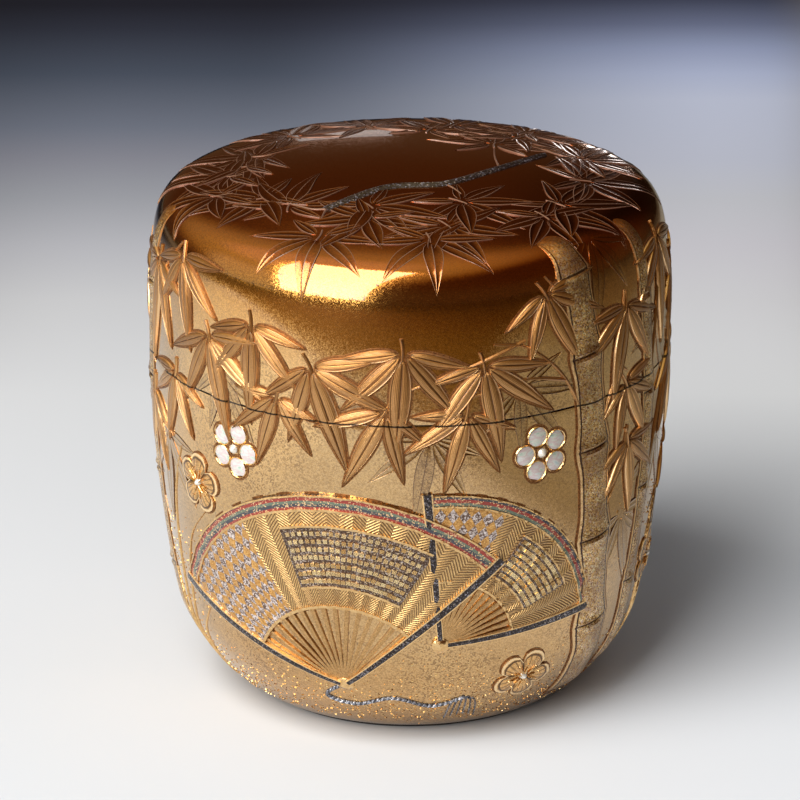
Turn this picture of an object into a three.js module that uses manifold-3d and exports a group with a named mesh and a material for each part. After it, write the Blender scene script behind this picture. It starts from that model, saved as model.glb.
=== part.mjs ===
// Natsume tea caddy, in millimetres, +Z up, standing on its foot ring with the origin under its centre.
// The front faces -Y. A turned wooden body and lid carry a thick gold lacquer coat outside and a black
// lacquer lining inside. The raised ornament (bamboo, open fans and plum blossom) is built up in the same
// lacquer as the coat. The shell petals and beads are separate pieces let into pockets in it.
import * as THREE from "three";
import { mergeVertices } from "three/addons/utils/BufferGeometryUtils.js";
import Module from "manifold-3d";

const wasm = await Module();
wasm.setup();

// Outer form
const caddyRadius = 33; // at the seam between body and lid
const seamHeight = 45.6; // from the table to the body's shoulder
const lidHeight = 22.9; // from the lid's rim to its crown
const footRadius = 20.4; // outer radius of the foot ring
const hipInset = 3.25; // how far inside the seam's radius the body's hip lies
const hipHeight = 12.2; // where the rounded heel meets the long side
const crownRise = 1.9; // how far the lid's low dome rises past its edge
const crownRadius = 24.6; // where the lid's shoulder meets the dome

// Shares that shape the outer curves
const hipLeanShare = 0.22; // how much the side leans out for each unit of height at the hip
const heelOutShare = 0.3; // the heel's lower handle, of the run from foot to hip
const heelRiseShare = 0.025; // the same handle, of the rise
const heelUpShare = 0.41; // the heel's upper handle, of that rise
const sideLowShare = 0.21; // the side's lower handle, of the rise from hip to seam
const sideHighShare = 0.35; // the side's upper handle, of that rise
const lidSideShare = 0.985; // the lid side's handle, of the height to the dome's edge
const lidShoulderShare = 0.955; // the shoulder's handle, of the run from dome's edge to side

// Walls and coats
const goldCoat = 0.6; // gold lacquer outside
const lining = 0.4; // black lacquer inside
const baseCoat = 0.4; // black lacquer under the base
const bond = 0.02; // between a coat and the wood it covers
const lidWall = 2.4; // whole thickness of the lid's side at its rim
const lidCeiling = 3.4; // whole thickness of the lid at its crown
const lipWall = 1.8; // whole thickness of the standing lip
const lipHeight = 9; // how far the lip stands above the shoulder
const lipClearance = 0.2; // between the lip and the inside of the lid
const lipHeadroom = 2.4; // above the lip before the lid's inside curves in
const seamGap = 0.05; // between the shoulder and the lid's rim
const floorWall = 3.4; // whole thickness of the body's floor
const footRingWidth = 1.6;
const footRecess = 0.8; // depth of the hollow under the base
const straightInside = 15.6; // how far below the shoulder the inside stays straight
const floorRadius = 13; // where the inside's rounded corner meets the flat floor
const ceilingRadius = 21; // where the lid's rounded inside corner meets its ceiling
const insideDropShare = 0.78; // the body's inside corner's upper handle, of its height
const insideRunShare = 0.78; // its lower handle, of its run
const ceilingRiseShare = 0.75; // the lid's inside corner's lower handle, of its height
const ceilingRunShare = 0.8; // its upper handle, of its run

// Faceting
const turns = 36; // facets round the caddy
const heelSteps = 4;
const sideSteps = 3;
const lidSideSteps = 7;
const crownSteps = 2;
const insideSteps = 4;
const leafSteps = 3;
const pleats = 5;
const fanRings = 2;
const ribSteps = 4;
const lobePoints = 2; // points round each petal of a gold blossom, between its notches
const shellPoints = 8;
const beadPoints = 6;

// Raised ornament
const embed = 0.3; // how far built-up lacquer reaches into the coat
const leafLength = 12;
const leafWidth = 2.5;
const leafRim = 0.12; // height of a leaf's edge above the coat
const leafCrest = 0.46; // height of its rib above the coat
const leafGap = 0.7; // from a spray's centre to the leaves' stalk ends
const culmWidth = 6.2; // of the nearer bamboo culm
const culmRim = 0.12;
const culmCrest = 0.62;
const farCulmWidth = 3.8; // of the culm behind it
const farCulmCrest = 0.4;
const leftCulmWidth = 4.2;
const leftCulmCrest = 0.45;
const backCulmWidth = 5.4;
const backCulmCrest = 0.55;
const twigWidth = 1.5;
const twigCrest = 0.35;
const fanReach = 27; // from the nearer fan's pivot to its outer edge
const fanRibs = 11.5; // from its pivot to the start of its leaf
const fanRidge = 0.5; // height of its folds above the coat
const farFanReach = 21;
const farFanRibs = 9;
const farFanRidge = 0.34;
const pleatDepth = 0.16;
const ribLift = 0.22; // height of a fan's bare ribs above the coat
const ribTuck = 1.3; // how far the ribs run in under the leaf
const ribSpreadShare = 0.93; // the ribs' angle, of the leaf's
const pivotRadius = 1.1;
const pivotCrest = 0.7;
const blossomRadius = 4; // from its centre to the ends of its petals
const notchRadius = 2.3; // from its centre to the notches between them
const blossomRim = 0.16;
const blossomCrest = 0.4;

// Shell inlay
const shellRadius = 1.25; // of a shell petal
const shellWeb = 0.3; // gold left between neighbouring petals
const shellDepth = 0.3; // how far shell reaches into the coat
const shellProud = 0.1; // how far it stands above the coat
const beadRadius = 0.6;
const beadRim = 0.1;
const beadProud = 0.32;
const pocketGap = 0.05; // all round a piece in its pocket, and under it
const overrun = 1.5; // how far a pocket's cutter reaches outside
const sliver = 0.002; // edges shorter than this are smoothed away after a cut

// Layout of the ornament. around is a share of a turn from the front, to the right. up is a share of the
// way along the outer curve from foot to crown. heading is a share of a turn, clockwise from up.
const leafBellyShare = 0.68; // the power of a leaf's outline: the lower, the nearer its belly to the stalk
const sprayLeafShares = [
  { turn: -0.215, size: 0.66 },
  { turn: -0.11, size: 0.9 },
  { turn: 0.005, size: 1.08 },
  { turn: 0.12, size: 0.86 },
  { turn: 0.225, size: 0.62 },
];
const sprayShares = [
  { around: -0.2, up: 0.63, heading: 0.53, size: 1 },
  { around: -0.165, up: 0.655, heading: 0.47, size: 0.9 },
  { around: -0.135, up: 0.57, heading: 0.46, size: 1.05 },
  { around: -0.215, up: 0.45, heading: 0.55, size: 0.95 },
  { around: -0.172, up: 0.5, heading: 0.53, size: 0.8 },
  { around: -0.1, up: 0.6, heading: 0.49, size: 0.9 },
  { around: -0.06, up: 0.56, heading: 0.43, size: 1.0 },
  { around: -0.082, up: 0.515, heading: 0.53, size: 0.75 },
  { around: -0.014, up: 0.51, heading: 0.58, size: 0.8 },
  { around: -0.004, up: 0.585, heading: 0.5, size: 0.95 },
  { around: 0.044, up: 0.565, heading: 0.47, size: 1 },
  { around: 0.034, up: 0.505, heading: 0.53, size: 0.8 },
  { around: 0.084, up: 0.645, heading: 0.42, size: 0.85 },
  { around: 0.15, up: 0.6, heading: 0.52, size: 0.95 },
  { around: 0.155, up: 0.42, heading: 0.46, size: 0.8 },
  { around: 0.15, up: 0.5, heading: 0.42, size: 0.8 },
  { around: 0.2, up: 0.66, heading: 0.5, size: 1 },
  { around: 0.228, up: 0.5, heading: 0.45, size: 1 },
  { around: 0.24, up: 0.61, heading: 0.44, size: 1 },
  { around: 0.27, up: 0.36, heading: 0.52, size: 0.9 },
  { around: 0.32, up: 0.62, heading: 0.5, size: 1 },
  { around: 0.3, up: 0.51, heading: 0.53, size: 0.9 },
  { around: 0.37, up: 0.48, heading: 0.56, size: 1 },
  { around: 0.4, up: 0.63, heading: 0.45, size: 0.95 },
  { around: 0.44, up: 0.56, heading: 0.46, size: 1.05 },
  { around: 0.48, up: 0.64, heading: 0.52, size: 0.95 },
  { around: -0.46, up: 0.53, heading: 0.54, size: 0.95 },
  { around: -0.42, up: 0.62, heading: 0.46, size: 0.95 },
  { around: -0.38, up: 0.5, heading: 0.53, size: 0.9 },
  { around: -0.35, up: 0.63, heading: 0.5, size: 1 },
  { around: -0.31, up: 0.5, heading: 0.45, size: 1 },
  { around: -0.27, up: 0.4, heading: 0.55, size: 0.9 },
  { around: -0.265, up: 0.6, heading: 0.48, size: 1 },
];

// Each culm is the places of its nodes, from low to high.
const culmShares = [
  { around: 0.142, up: 0.055 },
  { around: 0.135, up: 0.18 },
  { around: 0.128, up: 0.305 },
  { around: 0.121, up: 0.43 },
  { around: 0.114, up: 0.555 },
  { around: 0.106, up: 0.66 },
  { around: 0.099, up: 0.73 },
];
const farCulmShares = [
  { around: 0.175, up: 0.08 },
  { around: 0.18, up: 0.21 },
  { around: 0.182, up: 0.34 },
  { around: 0.18, up: 0.47 },
  { around: 0.174, up: 0.6 },
  { around: 0.167, up: 0.72 },
];
const leftCulmShares = [
  { around: -0.225, up: 0.07 },
  { around: -0.23, up: 0.2 },
  { around: -0.231, up: 0.33 },
  { around: -0.227, up: 0.46 },
  { around: -0.22, up: 0.59 },
  { around: -0.21, up: 0.71 },
];
const backCulmShares = [
  { around: 0.365, up: 0.06 },
  { around: 0.36, up: 0.19 },
  { around: 0.352, up: 0.32 },
  { around: 0.346, up: 0.45 },
  { around: 0.342, up: 0.58 },
  { around: 0.34, up: 0.71 },
];
const culmNodeShare = 1.12; // a culm's width at a node, of its width
const culmWaistShare = 0.9; // and half way between two nodes
const culmTaperShare = 0.3; // how much narrower it is at the top
const acrossShares = [-1, -0.5, 0, 0.5, 1]; // points across half a culm's width, to each side

// The twig on top of the lid, as places to the right and to the back in shares of crownRadius, with its
// width there as a share of twigWidth.
const twigShares = [
  { right: -0.42, back: -0.62, width: 1 },
  { right: -0.12, back: -0.36, width: 0.85 },
  { right: 0.18, back: -0.3, width: 0.7 },
  { right: 0.46, back: -0.02, width: 0.55 },
  { right: 0.7, back: 0.3, width: 0.35 },
];

// Each fan's site is its pivot. Its heading is the way its middle points, and opening is its whole angle.
const fanSiteShares = { around: -0.045, up: 0.125, heading: -0.03, opening: 0.33 };
const farFanSiteShares = { around: 0.02, up: 0.19, heading: 0.11, opening: 0.25 };
const backFanSiteShares = { around: 0.47, up: 0.15, heading: 0.02, opening: 0.32 };

const blossomShares = [
  { around: -0.15, up: 0.365, heading: 0.02 },
  { around: -0.275, up: 0.24, heading: 0.11 },
  { around: 0.082, up: 0.125, heading: 0.07 },
  { around: 0.215, up: 0.22, heading: 0.03 },
  { around: 0.3, up: 0.24, heading: 0.12 },
  { around: -0.4, up: 0.27, heading: 0.05 },
  { around: -0.33, up: 0.19, heading: 0.09 },
];
const shellBlossomShares = [
  { around: -0.115, up: 0.43, heading: 0.06 },
  { around: 0.082, up: 0.44, heading: 0.15 },
  { around: -0.49, up: 0.42, heading: 0.1 },
];
const petalCount = 5;

// Sizes worked out from the ones above
const fullTurn = 2 * Math.PI;
const rimHeight = seamHeight + seamGap;
const crownHeight = rimHeight + lidHeight;
const domeEdgeHeight = crownHeight - crownRise;
const lidInnerRadius = caddyRadius - lidWall;
const lipRadius = lidInnerRadius - lipClearance;
const mouthRadius = lipRadius - lipWall;
const lipTop = seamHeight + lipHeight;
const floorHeight = footRecess + floorWall;
const ceilingHeight = crownHeight - lidCeiling;
const shellReach = (shellRadius + shellWeb / 2) / Math.sin(Math.PI / petalCount);

const v2 = (radius, height) => new THREE.Vector2(radius, height);

// The outer curves, from the foot to the crown
function heelCurve() {
  const foot = v2(footRadius, baseCoat);
  const hip = v2(caddyRadius - hipInset, hipHeight);
  const run = hip.x - foot.x;
  const rise = hip.y - foot.y;
  const low = v2(foot.x + heelOutShare * run, foot.y + heelRiseShare * rise);
  const high = v2(hip.x - hipLeanShare * heelUpShare * rise, hip.y - heelUpShare * rise);
  return new THREE.CubicBezierCurve(foot, low, high, hip);
}

function sideCurve() {
  const hip = v2(caddyRadius - hipInset, hipHeight);
  const rise = seamHeight - hipHeight;
  const low = v2(hip.x + hipLeanShare * sideLowShare * rise, hip.y + sideLowShare * rise);
  const high = v2(caddyRadius, seamHeight - sideHighShare * rise);
  return new THREE.CubicBezierCurve(hip, low, high, v2(caddyRadius, seamHeight));
}

function lidSideCurve() {
  const run = lidShoulderShare * (caddyRadius - crownRadius);
  const slope = (2 * crownRise) / crownRadius;
  const low = v2(caddyRadius, rimHeight + lidSideShare * (domeEdgeHeight - rimHeight));
  const high = v2(crownRadius + run, domeEdgeHeight - slope * run);
  return new THREE.CubicBezierCurve(v2(caddyRadius, rimHeight), low, high, v2(crownRadius, domeEdgeHeight));
}

function crownCurve() {
  const edge = v2(crownRadius, domeEdgeHeight);
  return new THREE.QuadraticBezierCurve(edge, v2(crownRadius / 2, crownHeight), v2(0, crownHeight));
}

// The inner curves, from the straight wall to the flat floor or ceiling
function insideCurve() {
  const start = v2(mouthRadius, seamHeight - straightInside);
  const run = mouthRadius - floorRadius;
  const drop = start.y - floorHeight;
  const high = v2(mouthRadius, start.y - insideDropShare * drop);
  const low = v2(floorRadius + insideRunShare * run, floorHeight);
  return new THREE.CubicBezierCurve(start, high, low, v2(floorRadius, floorHeight));
}

function ceilingCurve() {
  const start = v2(lidInnerRadius, rimHeight + lipHeight + lipHeadroom);
  const run = lidInnerRadius - ceilingRadius;
  const rise = ceilingHeight - start.y;
  const low = v2(lidInnerRadius, start.y + ceilingRiseShare * rise);
  const high = v2(ceilingRadius + ceilingRunShare * run, ceilingHeight);
  return new THREE.CubicBezierCurve(start, low, high, v2(ceilingRadius, ceilingHeight));
}

// Points along a chain of curves, each moved by inset to the left of the way the curves run, which is
// into the wall on an outer curve that rises and on an inner one that falls.
function along(curves, steps, inset) {
  return curves.flatMap((curve, index) => {
    const isLast = index === curves.length - 1;
    return Array.from({ length: steps[index] + (isLast ? 1 : 0) }, (_, step) => {
      const share = step / steps[index];
      const point = curve.getPoint(share);
      const heading = curve.getTangent(share);
      return v2(point.x - inset * heading.y, point.y + inset * heading.x);
    });
  });
}

const bodyOutside = (inset) => along([heelCurve(), sideCurve()], [heelSteps, sideSteps], inset);
const bodyInside = (inset) => along([insideCurve()], [insideSteps], inset);
const lidInside = (inset) => along([ceilingCurve()], [insideSteps], -inset);

// The lid's outside, with its last point set exactly on the axis
function lidOutside(inset) {
  const points = along([lidSideCurve(), crownCurve()], [lidSideSteps, crownSteps], inset);
  points[points.length - 1].x = 0;
  return points;
}

// A closed solid from a geometry: doubled points are merged, slivers dropped and the faces turned out.
function solid(geometry) {
  geometry.deleteAttribute("normal");
  geometry.deleteAttribute("uv");
  const merged = mergeVertices(geometry);
  const points = merged.getAttribute("position").array;
  const corners = Array.from(merged.index.array);
  let faces = [];
  for (let first = 0; first < corners.length; first += 3) {
    const [a, b, c] = corners.slice(first, first + 3);
    if (a !== b && b !== c && c !== a) faces.push([a, b, c]);
  }
  const at = (corner) => new THREE.Vector3().fromArray(points, 3 * corner);
  const volume = faces.reduce((sum, [a, b, c]) => sum + at(a).dot(at(b).cross(at(c))), 0);
  if (volume < 0) faces = faces.map(([a, b, c]) => [a, c, b]);
  const triVerts = Uint32Array.from(faces.flat());
  const vertProperties = Float32Array.from(points);
  return new wasm.Manifold(new wasm.Mesh({ numProp: 3, vertProperties, triVerts }));
}

function turned(profile) {
  const geometry = new THREE.LatheGeometry(profile, turns);
  geometry.rotateX(Math.PI / 2);
  return solid(geometry);
}

// The whole outer curve, which the ornament follows
const outerPath = new THREE.CurvePath();
[heelCurve(), sideCurve(), lidSideCurve(), crownCurve()].forEach((curve) => outerPath.add(curve));
const outerLength = outerPath.getLength();
const crownLength = crownCurve().getLength();

// Where a distance up the outer curve lies: its radius and height, and the way the curve runs there
function station(distance) {
  const share = Math.min(Math.max(distance / outerLength, 0), 1);
  return { point: outerPath.getPoint(share), heading: outerPath.getTangent(share) };
}

// A place on the outside, lifted off it by lift
function onSkin(place, lift) {
  const { point, heading } = station(place.distance);
  const radius = point.x + lift * heading.y;
  const height = point.y - lift * heading.x;
  const angle = place.around * fullTurn;
  return new THREE.Vector3(radius * Math.sin(angle), -radius * Math.cos(angle), height);
}

// A drawing laid on the outside about a site: out runs along the site's heading, across to its right.
function chart(site) {
  const turn = site.heading * fullTurn;
  return (out, across) => {
    const right = out * Math.sin(turn) + across * Math.cos(turn);
    const distance = site.up * outerLength + out * Math.cos(turn) - across * Math.sin(turn);
    return { around: site.around + right / (fullTurn * station(distance).point.x), distance };
  };
}

// A pad of built-up lacquer whose top is a grid of places with lifts
function gridPad(rows, columns, cell) {
  const cells = Array.from({ length: rows * columns }, (_, i) => cell(Math.floor(i / columns), i % columns));
  const top = cells.map((spot) => onSkin(spot.place, spot.lift));
  const bottom = cells.map((spot) => onSkin(spot.place, -embed));
  const under = cells.length;
  const faces = [];
  const quad = (a, b, c, d) => faces.push(a, b, c, a, c, d);
  for (let row = 0; row + 1 < rows; row += 1) {
    for (let column = 0; column + 1 < columns; column += 1) {
      const a = row * columns + column;
      quad(a, a + 1, a + columns + 1, a + columns);
      quad(under + a, under + a + columns, under + a + columns + 1, under + a + 1);
    }
    const left = row * columns;
    const right = left + columns - 1;
    quad(left, left + columns, under + left + columns, under + left);
    quad(right, under + right, under + right + columns, right + columns);
  }
  for (let column = 0; column + 1 < columns; column += 1) {
    const near = column;
    const far = (rows - 1) * columns + column;
    quad(near, under + near, under + near + 1, near + 1);
    quad(far, far + 1, under + far + 1, under + far);
  }
  return padSolid([...top, ...bottom], faces);
}

// A round pad, from its outline's places to a crest over its middle
function domePad(middle, outline, rim, crest, depth) {
  const top = outline.map((place) => onSkin(place, rim));
  const bottom = outline.map((place) => onSkin(place, -depth));
  const count = outline.length;
  const faces = [];
  for (let point = 0; point < count; point += 1) {
    const next = (point + 1) % count;
    faces.push(2 * count, point, next);
    faces.push(point, count + point, count + next, point, count + next, next);
    faces.push(2 * count + 1, count + next, count + point);
  }
  return padSolid([...top, ...bottom, onSkin(middle, crest), onSkin(middle, -depth)], faces);
}

function padSolid(points, faces) {
  const geometry = new THREE.BufferGeometry().setFromPoints(points);
  geometry.setIndex(faces);
  return solid(geometry);
}

// The places of a circle in a drawing, centred out from its site
function ring(place, out, across, radius, count) {
  return Array.from({ length: count }, (_, point) => {
    const angle = (point / count) * fullTurn;
    return place(out + radius * Math.cos(angle), across + radius * Math.sin(angle));
  });
}

function leaf(site, share) {
  const place = chart({ ...site, heading: site.heading + share.turn });
  const size = site.size * share.size;
  return gridPad(leafSteps + 1, 3, (row, column) => {
    const isEnd = row === 0 || row === leafSteps;
    const width = isEnd ? 0 : Math.sin(Math.PI * (row / leafSteps) ** leafBellyShare);
    const across = ((column - 1) * size * width * leafWidth) / 2;
    const lift = column === 1 && !isEnd ? leafCrest : leafRim;
    return { place: place(leafGap + (size * leafLength * row) / leafSteps, across), lift };
  });
}

const spray = (site) => sprayLeafShares.map((share) => leaf(site, share));

// A rounded band along a chain of stops, each with its place, half its width and its crest
function ribbon(stops, rim) {
  const middles = stops.map((stop) => onSkin(stop, 0));
  return gridPad(stops.length, acrossShares.length, (row, column) => {
    const stop = stops[row];
    const ahead = middles[Math.min(row + 1, stops.length - 1)].clone().sub(middles[Math.max(row - 1, 0)]);
    const { point, heading } = station(stop.distance);
    const angle = stop.around * fullTurn;
    const rightward = new THREE.Vector3(Math.cos(angle), Math.sin(angle), 0);
    const upward = new THREE.Vector3(heading.x * Math.sin(angle), -heading.x * Math.cos(angle), heading.y);
    const way = v2(ahead.dot(rightward), ahead.dot(upward)).normalize();
    const off = acrossShares[column] * stop.half;
    const around = stop.around + (off * way.y) / (fullTurn * point.x);
    const lift = rim + (stop.crest - rim) * Math.cos((acrossShares[column] * Math.PI) / 2);
    return { place: { around, distance: stop.distance - off * way.x }, lift };
  });
}

// A bamboo culm: wide at its nodes, drawn in between them and narrower towards the top
function culm(nodeShares, width, crest) {
  const last = nodeShares.length - 1;
  const stops = nodeShares.flatMap((node, index) => {
    const next = nodeShares[index + 1];
    const at = (around, up, share, climbed) => ({
      around,
      distance: up * outerLength,
      half: (share * width * (1 - (culmTaperShare * climbed) / last)) / 2,
      crest: share * crest,
    });
    const here = at(node.around, node.up, culmNodeShare, index);
    if (!next) return [here];
    const around = (node.around + next.around) / 2;
    const between = at(around, (node.up + next.up) / 2, culmWaistShare, index + 1 / 2);
    return [here, between];
  });
  return ribbon(stops, culmRim);
}

function twig() {
  const stops = twigShares.map(({ right, back, width }) => ({
    around: Math.atan2(right, -back) / fullTurn,
    distance: outerLength - crownLength * Math.hypot(right, back),
    half: (width * twigWidth) / 2,
    crest: twigCrest,
  }));
  return ribbon(stops, culmRim);
}

// An open folding fan: its pleated leaf, its bare ribs as one low sector, and its pivot
function fan(site, reach, ribs, ridge) {
  const place = chart(site);
  const sector = (angleShare, radius) => {
    const angle = angleShare * site.opening * fullTurn;
    return place(radius * Math.cos(angle), radius * Math.sin(angle));
  };
  const folds = 2 * pleats;
  const pleated = gridPad(fanRings + 1, folds + 1, (row, column) => {
    const radius = ribs + ((reach - ribs) * row) / fanRings;
    const lift = column % 2 ? ridge - pleatDepth : ridge;
    return { place: sector(column / folds - 1 / 2, radius), lift };
  });
  const ribStart = pivotRadius / 2;
  const sticks = gridPad(fanRings + 1, ribSteps + 1, (row, column) => {
    const radius = ribStart + ((ribs + ribTuck - ribStart) * row) / fanRings;
    return { place: sector(ribSpreadShare * (column / ribSteps - 1 / 2), radius), lift: ribLift };
  });
  const pivot = domePad(place(0, 0), ring(place, 0, 0, pivotRadius, beadPoints), ribLift, pivotCrest, embed);
  return [pleated, sticks, pivot];
}

// A gold blossom: petals with round ends and notches between them
function goldBlossom(site) {
  const place = chart(site);
  const points = petalCount * (lobePoints + 1);
  const outline = Array.from({ length: points }, (_, point) => {
    const radius = point % (lobePoints + 1) ? blossomRadius : notchRadius;
    const angle = (point / points) * fullTurn;
    return place(radius * Math.cos(angle), radius * Math.sin(angle));
  });
  return domePad(place(0, 0), outline, blossomRim, blossomCrest, embed);
}

// A round inlay in its drawing: the piece itself, and the cutter of its pocket
function inlay(place, out, across, radius, points, rim, crest) {
  const middle = place(out, across);
  const pocketOutline = ring(place, out, across, radius + pocketGap, points);
  return {
    piece: domePad(middle, ring(place, out, across, radius, points), rim, crest, shellDepth),
    pocket: domePad(middle, pocketOutline, overrun, overrun, shellDepth + pocketGap),
  };
}

const bead = (place) => inlay(place, 0, 0, beadRadius, beadPoints, beadRim, beadProud);

function shellPetals(place) {
  return Array.from({ length: petalCount }, (_, petal) => {
    const angle = (petal / petalCount) * fullTurn;
    const out = shellReach * Math.cos(angle);
    const across = shellReach * Math.sin(angle);
    return inlay(place, out, across, shellRadius, shellPoints, shellProud, shellProud);
  });
}

// All the raised ornament as one shell, hollowed to end half way into the coat that it grows from
function ornament() {
  const leaves = sprayShares.flatMap(spray);
  const culms = [
    culm(culmShares, culmWidth, culmCrest),
    culm(farCulmShares, farCulmWidth, farCulmCrest),
    culm(leftCulmShares, leftCulmWidth, leftCulmCrest),
    culm(backCulmShares, backCulmWidth, backCulmCrest),
    twig(),
  ];
  const fans = [
    ...fan(fanSiteShares, fanReach, fanRibs, fanRidge),
    ...fan(farFanSiteShares, farFanReach, farFanRibs, farFanRidge),
    ...fan(backFanSiteShares, farFanReach, farFanRibs, farFanRidge),
  ];
  const former = turned([v2(0, baseCoat), ...bodyOutside(embed), ...lidOutside(embed)]);
  const blossoms = blossomShares.map(goldBlossom);
  return wasm.Manifold.union([...leaves, ...culms, ...fans, ...blossoms]).subtract(former);
}

// A block that holds everything above or below a height
function half(height, side) {
  const reach = 2 * (2 * caddyRadius + crownHeight);
  const geometry = new THREE.BoxGeometry(reach, reach, reach);
  geometry.translate(0, 0, height + (side * reach) / 2);
  return solid(geometry);
}

// The turned pieces, each as the outline of its section
function baseLacquer() {
  const inner = footRadius - footRingWidth;
  const ledge = inner + baseCoat;
  return turned([
    v2(0, footRecess),
    v2(inner, footRecess),
    v2(inner, 0),
    v2(footRadius, 0),
    v2(footRadius, baseCoat - bond),
    v2(ledge, baseCoat - bond),
    v2(ledge, footRecess + baseCoat),
    v2(0, footRecess + baseCoat),
  ]);
}

function bodyCore() {
  const outside = bodyOutside(goldCoat + bond);
  const inside = bodyInside(lining + bond);
  const ledge = footRadius - footRingWidth + baseCoat + bond;
  const buried = lining + bond;
  return turned([
    v2(0, footRecess + baseCoat + bond),
    v2(ledge, footRecess + baseCoat + bond),
    v2(ledge, baseCoat + bond),
    v2(outside[0].x - bond, baseCoat + bond),
    ...outside.slice(0, -1),
    v2(caddyRadius - goldCoat - bond, seamHeight - buried),
    v2(lipRadius - buried, seamHeight - buried),
    v2(lipRadius - buried, lipTop - buried),
    v2(mouthRadius + buried, lipTop - buried),
    ...inside,
    v2(0, floorHeight - buried),
  ]);
}

function bodyLining() {
  const inside = bodyInside(0);
  const outside = bodyInside(lining);
  return turned([
    v2(0, floorHeight - lining),
    ...outside.reverse(),
    v2(mouthRadius + lining, lipTop - lining),
    v2(lipRadius - lining, lipTop - lining),
    v2(lipRadius - lining, seamHeight - lining),
    v2(caddyRadius - goldCoat - bond, seamHeight - lining),
    v2(caddyRadius - goldCoat - bond, seamHeight),
    v2(lipRadius, seamHeight),
    v2(lipRadius, lipTop),
    v2(mouthRadius, lipTop),
    ...inside,
    v2(0, floorHeight),
  ]);
}

function bodyGold() {
  const outside = bodyOutside(0);
  return turned([...outside, ...bodyOutside(goldCoat).reverse(), outside[0].clone()]);
}

function lidCore() {
  const buried = lining + bond;
  return turned([
    v2(0, ceilingHeight + buried),
    ...lidInside(buried).reverse(),
    v2(lidInnerRadius + buried, rimHeight + buried),
    v2(caddyRadius - goldCoat - bond, rimHeight + buried),
    ...lidOutside(goldCoat + bond).slice(1),
  ]);
}

function lidLining() {
  return turned([
    v2(0, ceilingHeight),
    ...lidInside(0).reverse(),
    v2(lidInnerRadius, rimHeight),
    v2(caddyRadius - goldCoat - bond, rimHeight),
    v2(caddyRadius - goldCoat - bond, rimHeight + lining),
    v2(lidInnerRadius + lining, rimHeight + lining),
    ...lidInside(lining),
    v2(0, ceilingHeight + lining),
  ]);
}

function lidGold() {
  return turned([...lidOutside(goldCoat).reverse(), ...lidOutside(0)]);
}

// Finishes
const gold = { color: 0xb58a45, roughness: 0.3, metalness: 1 };
const blackLacquer = { color: 0x120e0c, roughness: 0.12, metalness: 0 };
const wood = { color: 0xb98d5c, roughness: 0.6, metalness: 0 };
const shell = { color: 0xe6e8de, roughness: 0.2, metalness: 0.1 };
const pearl = { color: 0xf1ede0, roughness: 0.25, metalness: 0 };

function node(name, shape, finish) {
  const { vertProperties, triVerts } = shape.getMesh();
  const geometry = new THREE.BufferGeometry();
  geometry.setAttribute("position", new THREE.BufferAttribute(vertProperties, 3));
  geometry.setIndex(new THREE.BufferAttribute(triVerts, 1));
  const mesh = new THREE.Mesh(geometry, new THREE.MeshStandardMaterial(finish));
  mesh.name = name;
  return mesh;
}

const shellBlossoms = shellBlossomShares.map((site) => shellPetals(chart(site)));
const beads = [...blossomShares, ...shellBlossomShares].map((site) => bead(chart(site)));
const pockets = wasm.Manifold.union([...shellBlossoms.flat(), ...beads].map(({ pocket }) => pocket));
const raised = ornament();

// A coat with its share of the ornament joined on and its pockets cut. Slivers are smoothed away, and the
// specks of air trapped where two pads lean together are filled by keeping the outermost surface alone.
function dressed(coat, height, side) {
  const joined = coat.add(raised.intersect(half(height, side))).subtract(pockets);
  const pieces = joined.asOriginal().simplify(sliver).decompose();
  return pieces.reduce((largest, piece) => (piece.volume() > largest.volume() ? piece : largest));
}

const caddy = new THREE.Group();
caddy.add(
  node("base_lacquer", baseLacquer(), blackLacquer),
  node("body_core", bodyCore(), wood),
  node("body_lining", bodyLining(), blackLacquer),
  node("body_gold_lacquer", dressed(bodyGold(), seamHeight, -1), gold),
  node("lid_core", lidCore(), wood),
  node("lid_lining", lidLining(), blackLacquer),
  node("lid_gold_lacquer", dressed(lidGold(), rimHeight, 1), gold)
);
shellBlossoms.forEach((petals, blossom) => {
  petals.forEach(({ piece }, petal) => {
    caddy.add(node(`shell_petal_${blossom + 1}_${petal + 1}`, piece, shell));
  });
});
beads.forEach(({ piece }, index) => caddy.add(node(`bead_${index + 1}`, piece, pearl)));

export default caddy;
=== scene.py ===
"""The looks of a natsume tea caddy: gold-powder lacquer with raised bamboo, fans and blossom.

Lengths are in millimetres until a mesh is made, +Z is up and the front faces -Y. Every shape is
worked out as whole arrays: a section turned about the axis, or a grid of places on the outer skin.
"""
import math

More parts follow.
